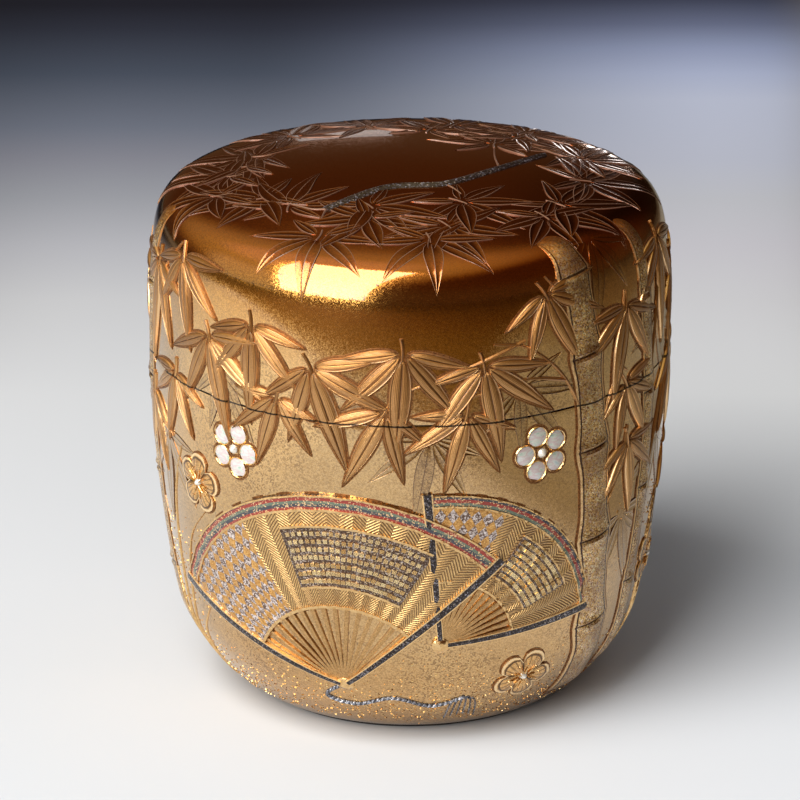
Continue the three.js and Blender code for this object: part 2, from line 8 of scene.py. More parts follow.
import bmesh
import bpy
import numpy as np
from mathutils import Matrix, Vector


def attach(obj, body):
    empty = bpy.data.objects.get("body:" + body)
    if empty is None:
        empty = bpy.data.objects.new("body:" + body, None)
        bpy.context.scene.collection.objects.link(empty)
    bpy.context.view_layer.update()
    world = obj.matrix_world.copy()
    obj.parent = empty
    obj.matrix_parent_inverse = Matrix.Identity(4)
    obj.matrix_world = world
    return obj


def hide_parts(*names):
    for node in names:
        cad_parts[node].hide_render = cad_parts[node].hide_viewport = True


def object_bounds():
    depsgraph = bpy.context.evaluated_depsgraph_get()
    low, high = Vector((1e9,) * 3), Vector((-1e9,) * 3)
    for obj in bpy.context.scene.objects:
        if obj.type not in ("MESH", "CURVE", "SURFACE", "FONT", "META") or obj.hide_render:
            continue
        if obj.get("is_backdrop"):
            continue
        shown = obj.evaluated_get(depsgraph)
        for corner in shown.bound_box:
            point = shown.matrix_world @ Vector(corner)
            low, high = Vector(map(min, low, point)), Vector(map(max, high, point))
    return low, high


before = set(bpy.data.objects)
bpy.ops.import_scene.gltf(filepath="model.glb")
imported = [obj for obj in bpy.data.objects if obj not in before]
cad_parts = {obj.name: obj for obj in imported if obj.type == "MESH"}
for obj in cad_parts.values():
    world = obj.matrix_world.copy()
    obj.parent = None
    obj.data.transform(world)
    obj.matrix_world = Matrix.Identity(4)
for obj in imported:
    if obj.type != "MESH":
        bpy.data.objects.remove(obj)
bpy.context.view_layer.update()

MM = 0.001
TURN = 2 * math.pi
dice = np.random.default_rng(12)

# Outer form, as the frame has it
CADDY_RADIUS = 33.0
SEAM_HEIGHT = 45.6
SEAM_GAP = 0.05
LID_HEIGHT = 22.9
FOOT_RADIUS = 20.4
HIP_INSET = 3.25
HIP_HEIGHT = 12.2
CROWN_RISE = 1.9
CROWN_RADIUS = 24.6
HIP_LEAN_SHARE = 0.22
HEEL_SHARES = (0.3, 0.025, 0.41)
SIDE_SHARES = (0.21, 0.35)
LID_SHARES = (0.985, 0.955)

# Walls and coats, as the frame has them
GOLD_COAT = 0.6
LINING = 0.4
BASE_COAT = 0.4
BOND = 0.02
LID_WALL = 2.4
LID_CEILING = 3.4
LIP_WALL = 1.8
LIP_HEIGHT = 9.0
LIP_CLEARANCE = 0.2
LIP_HEADROOM = 2.4
FLOOR_WALL = 3.4
FOOT_RING_WIDTH = 1.6
FOOT_RECESS = 0.8
STRAIGHT_INSIDE = 15.6
FLOOR_RADIUS = 13.0
CEILING_RADIUS = 21.0
INSIDE_SHARES = (0.78, 0.78)
CEILING_SHARES = (0.75, 0.8)

COAT_INSIDE = CADDY_RADIUS - GOLD_COAT - BOND  # the radius at which wood and linings end
UNDER_LINING = LINING + BOND
RIM_HEIGHT = SEAM_HEIGHT + SEAM_GAP
CROWN_HEIGHT = RIM_HEIGHT + LID_HEIGHT
DOME_EDGE_HEIGHT = CROWN_HEIGHT - CROWN_RISE
LID_INNER_RADIUS = CADDY_RADIUS - LID_WALL
LIP_RADIUS = LID_INNER_RADIUS - LIP_CLEARANCE
MOUTH_RADIUS = LIP_RADIUS - LIP_WALL
LIP_TOP = SEAM_HEIGHT + LIP_HEIGHT
FLOOR_HEIGHT = FOOT_RECESS + FLOOR_WALL
CEILING_HEIGHT = CROWN_HEIGHT - LID_CEILING

SIDES = 256  # facets round each turned piece
CURVE_STEPS = 30
# How far the edges of each kind of piece are rounded
COAT_EASE = 0.14
BASE_EASE = 0.12
WOOD_EASE = 0.1
BODY_LINING_EASE = 0.18
LID_LINING_EASE = 0.1
EMBED = 0.25  # how far built-up lacquer reaches into the coat
SEAM_LINE = 0.24  # width of the painted shade line where lid and body meet
FACET_ANGLE = math.radians(38)  # a sharper fold than this keeps its edge


# Curves and turned pieces


def bezier(*handles):
    """Points along a curve: the sum of its handles, each weighted by its Bernstein polynomial."""
    share = np.linspace(0, 1, CURVE_STEPS + 1)[:, None]
    degree = len(handles) - 1
    weights = [math.comb(degree, k) * (1 - share) ** (degree - k) * share**k for k in range(degree + 1)]
    return sum(weight * np.array(handle, float) for weight, handle in zip(weights, handles))


def chain(*curves):
    """One run of points through all the curves, with doubled points dropped."""
    points = np.concatenate([np.atleast_2d(np.array(curve, float)) for curve in curves])
    moved = np.abs(np.diff(points, axis=0)).sum(1) > 1e-6
    return points[np.concatenate([[True], moved])]


def headings(points):
    """The unit way a run of points goes, from the difference of each point's neighbours."""
    ways = np.gradient(points, axis=0)
    return ways / np.linalg.norm(ways, axis=1, keepdims=True)


def inset(points, depth):
    """The run moved by depth to the left of the way it goes."""
    ways = headings(points)
    return points + depth * np.stack([-ways[:, 1], ways[:, 0]], axis=1)


def body_outline():
    """The body's outside: a rounded heel, then the side, which leans out up to the seam."""
    heel_out, heel_rise, heel_up = HEEL_SHARES
    side_low, side_high = SIDE_SHARES
    foot = np.array((FOOT_RADIUS, BASE_COAT))
    hip = np.array((CADDY_RADIUS - HIP_INSET, HIP_HEIGHT))
    run, rise = hip - foot
    lean = np.array((HIP_LEAN_SHARE, 1))
    heel = bezier(foot, foot + (heel_out * run, heel_rise * rise), hip - heel_up * rise * lean, hip)
    climb = SEAM_HEIGHT - HIP_HEIGHT
    seam = (CADDY_RADIUS, SEAM_HEIGHT)
    high = (CADDY_RADIUS, SEAM_HEIGHT - side_high * climb)
    return chain(heel, bezier(hip, hip + side_low * climb * lean, high, seam))


def lid_outline():
    """The lid's outside: an upright side that rounds into the shoulder, then the low dome."""
    side, shoulder = LID_SHARES
    run = shoulder * (CADDY_RADIUS - CROWN_RADIUS)
    slope = 2 * CROWN_RISE / CROWN_RADIUS
    low = (CADDY_RADIUS, RIM_HEIGHT + side * (DOME_EDGE_HEIGHT - RIM_HEIGHT))
    high = (CROWN_RADIUS + run, DOME_EDGE_HEIGHT - slope * run)
    edge = (CROWN_RADIUS, DOME_EDGE_HEIGHT)
    wall = bezier((CADDY_RADIUS, RIM_HEIGHT), low, high, edge)
    return chain(wall, bezier(edge, (CROWN_RADIUS / 2, CROWN_HEIGHT), (0, CROWN_HEIGHT)))


def cup_inside():
    """The inside of the cup, from the straight wall down to the flat floor."""
    drop_share, run_share = INSIDE_SHARES
    start = (MOUTH_RADIUS, SEAM_HEIGHT - STRAIGHT_INSIDE)
    drop = start[1] - FLOOR_HEIGHT
    run = MOUTH_RADIUS - FLOOR_RADIUS
    high = (MOUTH_RADIUS, start[1] - drop_share * drop)
    low = (FLOOR_RADIUS + run_share * run, FLOOR_HEIGHT)
    return bezier(start, high, low, (FLOOR_RADIUS, FLOOR_HEIGHT))


def lid_inside():
    """The inside of the lid, from the straight wall up to the ceiling."""
    rise_share, run_share = CEILING_SHARES
    start = (LID_INNER_RADIUS, RIM_HEIGHT + LIP_HEIGHT + LIP_HEADROOM)
    rise = CEILING_HEIGHT - start[1]
    low = (LID_INNER_RADIUS, start[1] + rise_share * rise)
    high = (CEILING_RADIUS + run_share * (LID_INNER_RADIUS - CEILING_RADIUS), CEILING_HEIGHT)
    return bezier(start, low, high, (CEILING_RADIUS, CEILING_HEIGHT))


def eased(section, reach, steps=5):
    """Rounds the sharp corners of a section: from reach before each to reach after it, along the
    quadratic curve that has the corner as its middle handle. Points on the axis stay."""
    before = np.roll(section, 1, axis=0) - section
    after = np.roll(section, -1, axis=0) - section
    before_length = np.linalg.norm(before, axis=1)
    after_length = np.linalg.norm(after, axis=1)
    cosine = (before * after).sum(1) / np.maximum(before_length * after_length, 1e-9)
    corner = (cosine > -0.8) & (section[:, 0] > 1e-6)
    room = np.minimum(reach, 0.45 * np.minimum(before_length, after_length)) * corner
    start = section + before * (room / before_length)[:, None]
    end = section + after * (room / after_length)[:, None]
    share = np.linspace(0, 1, steps)[None, :, None]
    early, middle, late = (1 - share) ** 2, 2 * share * (1 - share), share**2
    curve = early * start[:, None] + middle * section[:, None] + late * end[:, None]
    kept = corner[:, None] | (np.arange(steps) == 0)[None, :]
    return curve[kept]


def turned(section, loop):
    """A section turned about the axis: x = r sin(angle), y = -r cos(angle), z = height. A loop closes
    on itself, and any other section starts and ends on the axis, where each end is one point."""
    angle = np.arange(SIDES) / SIDES * TURN
    rings = section if loop else section[1:-1]
    radius = rings[:, :1]
    height = np.repeat(rings[:, 1:], SIDES, axis=1)
    points = np.stack([radius * np.sin(angle), -radius * np.cos(angle), height], axis=-1).reshape(-1, 3)
    ring = np.arange(len(rings) * SIDES).reshape(len(rings), SIDES)
    ahead = np.roll(ring, -1, axis=0) if loop else ring[1:]
    here = ring if loop else ring[:-1]
    quads = np.stack([here, np.roll(here, -1, 1), np.roll(ahead, -1, 1), ahead], axis=-1).reshape(-1, 4)
    faces = quads.tolist()
    if not loop:
        ends = np.array([[0, 0, section[0, 1]], [0, 0, section[-1, 1]]])
        first, last = len(points), len(points) + 1
        points = np.concatenate([points, ends])
        low = np.stack([np.full(SIDES, first), np.roll(ring[0], -1), ring[0]], axis=1)
        high = np.stack([np.full(SIDES, last), ring[-1], np.roll(ring[-1], -1)], axis=1)
        faces += low.tolist() + high.tolist()
    return points, faces


# Making pieces


def show(name, mesh, finish, body, nodes=()):
    """Puts a mesh in the scene as a piece that rides on a body and stands for its CAD nodes."""
    mesh.materials.append(finish)
    mesh.shade_smooth()
    mesh.set_sharp_from_angle(angle=FACET_ANGLE)
    piece = bpy.data.objects.new(name, mesh)
    bpy.context.scene.collection.objects.link(piece)
    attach(piece, body)
    if nodes:
        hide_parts(*nodes)
    return piece


def outward(mesh):
    """Turns all faces of a closed mesh outwards."""
    work = bmesh.new()
    work.from_mesh(mesh)
    bmesh.ops.recalc_face_normals(work, faces=work.faces)
    work.to_mesh(mesh)
    work.free()


def turned_piece(name, section, finish, body, node, loop=False):
    points, faces = turned(section, loop)
    mesh = bpy.data.meshes.new(name)
    mesh.from_pydata(points * MM, [], faces)
    outward(mesh)
    return show(name, mesh, finish, body, (node,))


# The skin, which the ornament follows

skin = chain(body_outline(), lid_outline())
skin_steps = np.linalg.norm(np.diff(skin, axis=0), axis=1)
skin_distance = np.concatenate([[0], np.cumsum(skin_steps)])
skin_way = headings(skin)
OUTER_LENGTH = skin_distance[-1]


def radius_at(distance):
    return np.interp(distance, skin_distance, skin[:, 0])


def on_skin(around, distance, lift):
    """The point at a share of a turn from the front and a distance up the outline, lifted off it:
    x = r sin, y = -r cos, z = height, where (r, height) has moved by lift along the outline's normal."""
    radius, height = (np.interp(distance, skin_distance, skin[:, k]) for k in (0, 1))
    way_out, way_up = (np.interp(distance, skin_distance, skin_way[:, k]) for k in (0, 1))
    radius = radius + lift * way_up
    height = height - lift * way_out
    return np.stack([radius * np.sin(around * TURN), -radius * np.cos(around * TURN), height], axis=-1)


def per_pad(values):
    """Values along the first side of a grid of pads, rows and columns, as the next two are along
    its other sides."""
    return np.asarray(values)[:, None, None]


def per_row(values):
    return np.asarray(values)[None, :, None]


def per_column(values):
    return np.asarray(values)[None, None, :]


def side_chart(around, up, heading):
    """A flat drawing laid on the side about a site: out runs along its heading, a share of a turn
    clockwise from up, and across to the right of that. Gives the places as around and distance."""
    turn = np.asarray(heading) * TURN

    def place(out, across):
        right = out * np.sin(turn) + across * np.cos(turn)
        distance = up * OUTER_LENGTH + out * np.cos(turn) - across * np.sin(turn)
        return around + right / (TURN * radius_at(distance)), distance

    return place


def top_chart(right, back, heading):
    """The same on top of the lid, about a site in shares of the crown's radius. A place's way from
    the middle keeps its length and its angle, so the drawing drapes over the shoulder."""
    turn = np.asarray(heading) * TURN

    def place(out, across):
        along_x = right * CROWN_RADIUS + out * np.sin(turn) + across * np.cos(turn)
        along_y = back * CROWN_RADIUS + out * np.cos(turn) - across * np.sin(turn)
        return np.arctan2(along_x, -along_y) / TURN, OUTER_LENGTH - np.hypot(along_x, along_y)

    return place


WALLED_EDGES = {"patch": (True, True), "ring": (True, False), "disc": (False, False)}


def pads(places, lift, marks, form="patch", sunk=EMBED):
    """Closed pads of built-up lacquer from grids of shape (pads, rows, columns). A pad's top is its
    places raised by lift, its underside the same places sunk into the coat, and walls one face high
    join their edges. A ring's columns close on themselves, and a disc's first row is its middle too.
    marks are three numbers for each place, which the finishes read."""
    around, distance, lift = np.broadcast_arrays(*places, lift)
    count, rows, columns = around.shape
    top = on_skin(around, distance, lift)
    under = on_skin(around, distance, np.full(around.shape, -sunk))
    points = np.stack([top, under], axis=1).reshape(-1, 3)
    marks = np.stack(np.broadcast_arrays(*marks, around)[:3], axis=-1)
    marks = np.stack([marks, marks], axis=1).reshape(-1, 3)
    cell = np.arange(rows * columns).reshape(rows, columns)
    layer = rows * columns
    upper = np.stack([cell[:-1, :-1], cell[:-1, 1:], cell[1:, 1:], cell[1:, :-1]], axis=-1).reshape(-1, 4)
    faces = [upper, upper[:, ::-1] + layer]
    near_wall, side_walls = WALLED_EDGES[form]
    borders = [cell[-1, ::-1]]
    if near_wall:
        borders.append(cell[0])
    if side_walls:
        borders += [cell[:, -1], cell[::-1, 0]]
    for border in borders:
        start, end = border[:-1], border[1:]
        faces.append(np.stack([start, start + layer, end + layer, end], axis=-1))
    one = np.concatenate(faces)
    faces = (one[None] + (2 * layer * np.arange(count))[:, None, None]).reshape(-1, 4)
    return points, faces, marks


def relief_mesh(name, parts):
    """One mesh of many pads: doubled points are merged, and faces without area go with them."""
    starts = np.cumsum([0] + [len(part[0]) for part in parts])
    points = np.concatenate([part[0] for part in parts])
    faces = np.concatenate([part[1] + start for part, start in zip(parts, starts)])
    mesh = bpy.data.meshes.new(name)
    mesh.from_pydata(points * MM, [], faces.tolist())
    layer = mesh.attributes.new("marks", "FLOAT_VECTOR", "POINT")
    layer.data.foreach_set("vector", np.concatenate([part[2] for part in parts]).astype(np.float32).ravel())
    work = bmesh.new()
    work.from_mesh(mesh)
    bmesh.ops.remove_doubles(work, verts=work.verts, dist=2e-7)
    work.to_mesh(mesh)
    work.free()
    return mesh


def half_of(mesh, height, is_lower, name):
    """A copy of the mesh cut off at a height, with its cuts closed, or None if nothing is left."""
    work = bmesh.new()
    work.from_mesh(mesh)
    everything = work.verts[:] + work.edges[:] + work.faces[:]
    cut = bmesh.ops.bisect_plane(
        work,
        geom=everything,
        plane_co=(0, 0, height * MM),
        plane_no=(0, 0, 1),
        clear_outer=is_lower,
        clear_inner=not is_lower,
    )
    edges = [part for part in cut["geom_cut"] if isinstance(part, bmesh.types.BMEdge)]
    if edges:
        bmesh.ops.holes_fill(work, edges=edges, sides=0)
    half = bpy.data.meshes.new(name)
    work.to_mesh(half)
    work.free()
    return half if len(half.polygons) else None


def relief(name, parts, finish):
    """Shows ornament as one piece on the body and one on the lid, cut where it crosses the seam."""
    whole = relief_mesh(name, parts)
    for body, height, is_lower in (("body", SEAM_HEIGHT, True), ("lid", RIM_HEIGHT, False)):
        half = half_of(whole, height, is_lower, f"{name}_{body}")
        if half:
            show(half.name, half, finish, body)
    bpy.data.meshes.remove(whole)


# Drawing tools


def smooth_track(stops, steps):
    """Points through the stops along a Catmull-Rom curve, with steps to each span."""
    stops = np.array(stops, float)
    padded = np.concatenate([2 * stops[:1] - stops[1:2], stops, 2 * stops[-1:] - stops[-2:-1]])
    place = np.linspace(0, len(stops) - 1, steps * (len(stops) - 1) + 1)
    span = np.minimum(place.astype(int), len(stops) - 2)
    t = (place - span)[:, None]
    a, b, c, d = (padded[span + k] for k in range(4))
    return 0.5 * (2 * b + (c - a) * t + (2 * a - 5 * b + 4 * c - d) * t**2 + (3 * b - a - 3 * c + d) * t**3)


def side_ribbon(stops, half, offsets):
    """A band along stops of (around, up) on the side. half is half its width at each stop, offsets
    are shares of that to each side. Gives places of shape (1, stops, offsets) and the way along."""
    around = stops[:, 0]
    distance = stops[:, 1] * OUTER_LENGTH
    circle = TURN * radius_at(distance)
    way = np.stack([np.gradient(around) * circle, np.gradient(distance)], axis=1)
    along = np.concatenate([[0], np.cumsum(np.linalg.norm(way, axis=1)[1:])])
    way /= np.maximum(np.linalg.norm(way, axis=1, keepdims=True), 1e-9)
    off = half[:, None] * offsets[None, :]
    places = around[:, None] + off * (way[:, 1] / circle)[:, None], distance[:, None] - off * way[:, :1]
    return (places[0][None], places[1][None]), along


def top_ribbon(stops, half, offsets):
    """The same on top of the lid, along stops of (right, back) in shares of the crown's radius."""
    track = stops * CROWN_RADIUS
    way = np.gradient(track, axis=0)
    along = np.concatenate([[0], np.cumsum(np.linalg.norm(way, axis=1)[1:])])
    way /= np.maximum(np.linalg.norm(way, axis=1, keepdims=True), 1e-9)
    off = half[:, None] * offsets[None, :]
    across = track[:, :1] + off * way[:, 1:], track[:, 1:] - off * way[:, :1]
    places = np.arctan2(across[0], -across[1]) / TURN, OUTER_LENGTH - np.hypot(*across)
    return (places[0][None], places[1][None]), along


def ridge(value, height, middle, width):
    """A rounded ridge: its height times exp of minus the squared distance from its middle, in widths."""
    return height * np.exp(-(((value - middle) / width) ** 2))


def swung(out, across, angle):
    """A place in a drawing, turned by an angle about the drawing's middle."""
    cosine, sine = np.cos(angle), np.sin(angle)
    return out * cosine - across * sine, out * sine + across * cosine


# Leaves

LEAF_LENGTH = 12.0
LEAF_WIDTH = 2.5
LEAF_RIM = 0.12
LEAF_CREST = 0.48
LEAF_GAP = 0.7
LEAF_BELLY_SHARE = 0.68
LEAF_ROWS = 22
LEAF_SWAY_SHARE = 0.055
# Ridges and grooves across half a leaf, each by height or depth, middle and width
MIDRIB_GROOVE = (0.15, 0, 0.09)
EDGE_GROOVE = (0.12, 0.78, 0.08)
SATIN_EDGE = (0.1, 0.94, 0.06)
DRAWN_EDGE = (1, 0.94, 0.05)
DRAWN_MIDRIB = (0.8, 0, 0.06)
SATIN_SHARES = np.array([0, 0.05, 0.12, 0.28, 0.5, 0.68, 0.79, 0.86, 0.93, 1])
LINE_SHARES = np.array([0, 0.05, 0.1, 0.5, 0.84, 0.91, 0.955, 1])
LINE_LIFT = 0.035
DRAWN_RIM = 0.02
LEAF_LAYERS = 0.13  # how far apart drawn leaves may lie in height
PETIOLE_LENGTH = 1.8
PETIOLE_TIP = 1.0  # how far a petiole reaches in among its leaves
PETIOLE_BEND = 0.22
PETIOLE_RIM = 0.05
OUTLINE_SHADOW = 0.26  # width of the painted shadow line round a motif
OUTLINE_SHADOW_LIFT = 0.08
BROAD_WIDTH = 3.3
DRAWN_ROWS = 14
FLAT_SHARES = np.array([-1, 0, 1])  # across a flat pad
ROUND_SHARES = np.array([-1, -0.6, 0, 0.6, 1])  # across a round-backed line
ROUND_BACK = np.cos(ROUND_SHARES * math.pi / 2)
ROUND_RIM = 0.04
# Each leaf of a spray: its turn from the spray's heading and its size
spray_leaf_shares = [(-0.215, 0.66), (-0.11, 0.9), (0.005, 1.08), (0.12, 0.86), (0.225, 0.62)]
broad_leaf_shares = [
    (-0.37, 0.66), (-0.25, 0.88), (-0.125, 1.0), (0.0, 1.08), (0.125, 1.0), (0.25, 0.86), (0.37, 0.64)
]


def both_sides(shares):
    return np.concatenate([-shares[:0:-1], shares])


def leaf_plan(sites, leaf_shares=spray_leaf_shares):
    """The leaves of all sprays, each with its site, heading, size, bend and a random tone."""
    sites = np.array(sites, float)
    turns, sizes = np.array(leaf_shares).T
    first, second, heading, size = (np.repeat(column, len(turns)) for column in sites.T)
    heading = heading + np.tile(turns, len(sites)) + dice.uniform(-0.012, 0.012, len(first))
    size = size * np.tile(sizes, len(sites)) * dice.uniform(0.93, 1.07, len(first))
    sway = dice.uniform(-1, 1, len(first)) * LEAF_SWAY_SHARE
    tone = dice.uniform(0, 1, len(first))
    return [per_pad(column) for column in (first, second, heading, size, sway, tone)]


def leaf_grid(plan, chart, offsets, wider=0.0, breadth=LEAF_WIDTH, rows=LEAF_ROWS):
    """Lance-shaped leaves. Half the width is sin(pi * share ** belly), where share runs from stalk
    to tip, and each leaf bends to one side by the square of that share less half of it."""
    first, second, heading, size, sway, tone = plan
    share = per_row(np.linspace(0, 1, rows))
    offsets = per_column(offsets)
    width = np.sin(math.pi * share**LEAF_BELLY_SHARE) * breadth / 2 * size
    width = width + wider * np.sin(math.pi * share) ** 0.3
    length = size * LEAF_LENGTH
    out = LEAF_GAP - wider + (length + 2 * wider) * share
    across = offsets * width + sway * length * (share**2 - 0.5 * share)
    places = chart(first, second, heading)(out, across)
    return places, (out, offsets, tone), share, offsets


def satin_leaves(plan):
    """Filled leaves: each half swells from the sunk midrib and falls to a fine raised edge."""
    places, marks, share, offsets = leaf_grid(plan, side_chart, both_sides(SATIN_SHARES))
    side = np.abs(offsets)
    swell = np.sqrt(np.maximum(1 - side**2.4, 0)) * np.sin(math.pi * share) ** 0.35
    lift = LEAF_RIM + (LEAF_CREST - LEAF_RIM) * swell
    lift = lift - ridge(side, *MIDRIB_GROOVE) * swell
    lift = lift + ridge(side, *SATIN_EDGE) - ridge(side, *EDGE_GROOVE) * swell
    return pads(places, lift, marks)


def lined_leaves(plan, chart=side_chart, breadth=BROAD_WIDTH):
    """Drawn leaves: a raised line round the edge and another along the midrib, low between them.
    Each lies at a height of its own, so that one leaf covers another."""
    offsets = both_sides(LINE_SHARES)
    places, marks, share, offsets = leaf_grid(plan, chart, offsets, breadth=breadth, rows=DRAWN_ROWS)
    side = np.abs(offsets)
    line = np.maximum(ridge(side, *DRAWN_EDGE), ridge(side, *DRAWN_MIDRIB))
    ends = np.sin(math.pi * share) ** 0.4
    return pads(places, (DRAWN_RIM + LEAF_LAYERS * marks[2] + LINE_LIFT * line) * ends, marks)


def leaf_outline_shadows(plan):
    """A low dark pad under each leaf, wider by the outline shadow: painted shadow at the leaf's foot."""
    places, marks, _, _ = leaf_grid(plan, side_chart, FLAT_SHARES, wider=OUTLINE_SHADOW)
    return pads(places, OUTLINE_SHADOW_LIFT, marks)


def petioles(sites, chart=side_chart, width=0.5, crest=0.24):
    """A short stalk into the middle of each spray, opposite its leaves."""
    first, second, heading, _ = (per_pad(column) for column in np.array(sites, float).T)
    out = per_row(np.linspace(-PETIOLE_LENGTH, PETIOLE_TIP, 8))
    offsets = per_column(ROUND_SHARES)
    bend = PETIOLE_BEND * (out / PETIOLE_LENGTH) ** 2
    places = chart(first, second, heading)(out, offsets * width / 2 + bend)
    return pads(places, PETIOLE_RIM + crest * per_column(ROUND_BACK), (out, 0.3 * offsets, 0.5))


# Stalks, branches and culms


def stalk(stops, width, crest, ribbon=side_ribbon, steps=10):
    """A thin round-backed line through its stops that tapers to nearly half its width."""
    track = smooth_track(stops, steps)
    half = width / 2 * np.linspace(1, 0.55, len(track))
    places, along = ribbon(track, half, ROUND_SHARES)
    lift = ROUND_RIM + crest * per_column(ROUND_BACK)
    return pads(places, lift, (per_row(along), 0.4 * per_column(ROUND_SHARES), 0.4))


CULM_OFFSETS = np.linspace(-1, 1, 15)
CULM_STEPS = 26
CULM_FADE = 3.0  # how far a culm sinks into the ground at its foot
CULM_TOP_FADE = 7.0
CULM_SINK = -0.12  # the lift of a culm's ends, under the ground
CULM_TAPER = 0.3
# A culm's ridges and grooves by height or depth, middle and width: three at a node and one at the edge
RING_ABOVE = (0.2, 0.42, 0.22)
RING_BELOW = (0.16, -0.4, 0.22)
NODE_GROOVE = (0.16, 0, 0.2)
CULM_EDGE = (0.07, 0.93, 0.08)
CULM_OUTLINE_SHADOW_SHARE = 0.84


def culm_track(nodes, width):
    """A culm's middle line and half its width, which narrows upwards by CULM_TAPER and draws in
    between nodes by cos ** 6."""
    track = smooth_track(nodes, CULM_STEPS)
    place = np.linspace(0, len(nodes) - 1, len(track))
    swell = np.cos(math.pi * place) ** 6
    half = width / 2 * (0.9 + 0.2 * swell) * (1 - CULM_TAPER * place / place[-1])
    return track, place, swell, half


def culm(nodes, width, rim, crest):
    """A bamboo culm on the side, with a groove between two raised rings at each node."""
    track, place, swell, half = culm_track(nodes, width)
    places, along = side_ribbon(track, half, CULM_OFFSETS)
    from_node = along - np.interp(np.round(place), place, along)
    ring = ridge(from_node, *RING_ABOVE) + ridge(from_node, *RING_BELOW) - ridge(from_node, *NODE_GROOVE)
    back = np.cos(CULM_OFFSETS * math.pi / 2)
    lift = rim + (crest - rim) * per_column(back) * per_row(0.92 + 0.12 * swell)
    lift = lift + per_row(ring) * per_column(0.35 + 0.65 * back)
    lift = lift + per_column(ridge(np.abs(CULM_OFFSETS), *CULM_EDGE))
    fade = np.minimum(along / CULM_FADE, (along[-1] - along) / CULM_TOP_FADE)
    fade = per_row(np.clip(fade, 0, 1))
    lift = CULM_SINK + (lift - CULM_SINK) * np.sin(fade * math.pi / 2)
    return pads(places, lift, (per_row(from_node), per_column(CULM_OFFSETS), fade))


def culm_outline_shadow(nodes, width):
    """A low dark pad under a culm, wider by the outline shadow: painted shadow at the culm's foot."""
    track, _, _, half = culm_track(nodes, width)
    reached = np.linspace(0, 1, len(track)) < CULM_OUTLINE_SHADOW_SHARE
    places, along = side_ribbon(track[reached], (half + OUTLINE_SHADOW)[reached], FLAT_SHARES)
    return pads(places, OUTLINE_SHADOW_LIFT, (per_row(along), 0, 0))


# Fans

PLEAT_DEPTH = 0.16
PIVOT_RADIUS = 1.1
# A fan's leaf by shares of its depth: patterns, a line, an edge band and a line at the rim, and in
# the patterns a dark window between two lines
PATTERN_END_SHARE = 0.86
BAND_START_SHARE = 0.88
RIM_START_SHARE = 0.985
HEEL_LINE_SHARE = 0.025
WINDOW_LOW_SHARE = 0.2
WINDOW_HIGH_SHARE = 0.72
WINDOW_LINE_SHARE = 0.02
OUTLINE_SHADOW_SHARE = 0.02
LINE_PROUD = 0.13
GROUND_PROUD = 0.06
# The cut squares in the window, whose margins are in half folds and in shares of the depth
SQUARE_SIZE = 0.5
SQUARE_PROUD = 0.18
SQUARE_ROWS = 7
SQUARE_MARGIN = 0.6
SQUARE_MARGIN_SHARE = 0.05


class Fan:
    """An open folding fan laid on the side. An angle is a share of its opening, -1/2 to 1/2, and a
    place is at radius * (cos, sin) of that angle in the drawing about its pivot."""

    def __init__(self, site, reach, ribs, ridge, folds):
        around, up, heading, self.opening = site
        self.place = side_chart(around, up, heading)
        self.reach = reach
        self.ribs = ribs
        self.ridge = ridge
        self.folds = folds

    def polar(self, share, radius):
        angle = share * self.opening * TURN
        return self.place(radius * np.cos(angle), radius * np.sin(angle))

    def pleat(self, share):
        """A triangle wave across the leaf, 0 on its ridges and 1 in its valleys."""
        return np.abs(((share + 0.5) * self.folds) % 1 * 2 - 1)

    def field(self, first, last, low, high, proud, rows):
        """A part of the leaf, between two half folds and two shares of its depth, raised by proud."""
        count = 2 * self.folds
        share = per_column(np.linspace(first, last, (last - first) * 3 + 1) / count - 0.5)
        depth = self.reach - self.ribs
        radius = per_row(self.ribs + depth * np.linspace(low, high, rows))
        lift = self.ridge - PLEAT_DEPTH * self.pleat(share) + proud
        middle = self.ribs + depth / 2
        marks = (share * self.opening * TURN * middle, radius, share * self.folds)
        return pads(self.polar(share, radius), lift, marks)

    def bars(self, count, start, end, width, lift, spread=1.0):
        """The ribs, evenly spread bars from start to end."""
        share = per_pad(np.linspace(-0.5, 0.5, count) * spread)
        radius = per_row(np.linspace(start, end, 14))
        offsets = per_column([-1, -0.8, 0, 0.8, 1])
        angle = share * self.opening * TURN
        off = offsets * width / 2 * (0.55 + 0.45 * radius / end)
        raised = lift + 0.08 * (1 - offsets**2)
        return pads(self.place(*swung(radius, off, angle)), raised, (radius, offsets, share + 0.5))

    def squares(self, first, last, low, high, across_count, out_count, size, proud):
        """Small cut squares in even rows over a part of the leaf."""
        count = 2 * self.folds
        shares = np.linspace(first, last, across_count) / count - 0.5
        radii = self.ribs + (self.reach - self.ribs) * np.linspace(low, high, out_count)
        share, radius = (per_pad(grid.ravel()) for grid in np.meshgrid(shares, radii))
        angle = share * self.opening * TURN
        ends = size / 2 * np.array([-1, 1])
        row, column = per_row(ends), per_column(ends)
        places = self.place(*swung(radius + row, column, angle))
        lift = self.ridge - PLEAT_DEPTH * self.pleat(share) + proud
        seed = dice.uniform(0, 1, share.shape)
        return pads(places, lift, (2 * row / size, 2 * column / size, seed))


# Discs, rings and blossoms

ROUND_STEPS = 41  # places round a disc or a ring
GRAIN_RIM = 0.05
BLOSSOM_RADIUS = 4.0
PETAL_EDGE = (0.1, 1, 0.09)


def disc(place, out, across, outline, lift, turned_by=0.0, seed=0.0, sunk=EMBED):
    """A round pad: rows go from its middle to its outline, a radius for each angle, and lift is a
    function of the share of the way out and the angle."""
    angle = per_column(np.linspace(0, TURN, ROUND_STEPS))
    share = per_row(np.linspace(0, 1, 9))
    radius = share * outline(angle)
    heading = angle + turned_by * TURN
    places = place(out + radius * np.cos(heading), across + radius * np.sin(heading))
    return pads(places, lift(share, angle), (share, angle / TURN, seed), form="disc", sunk=sunk)


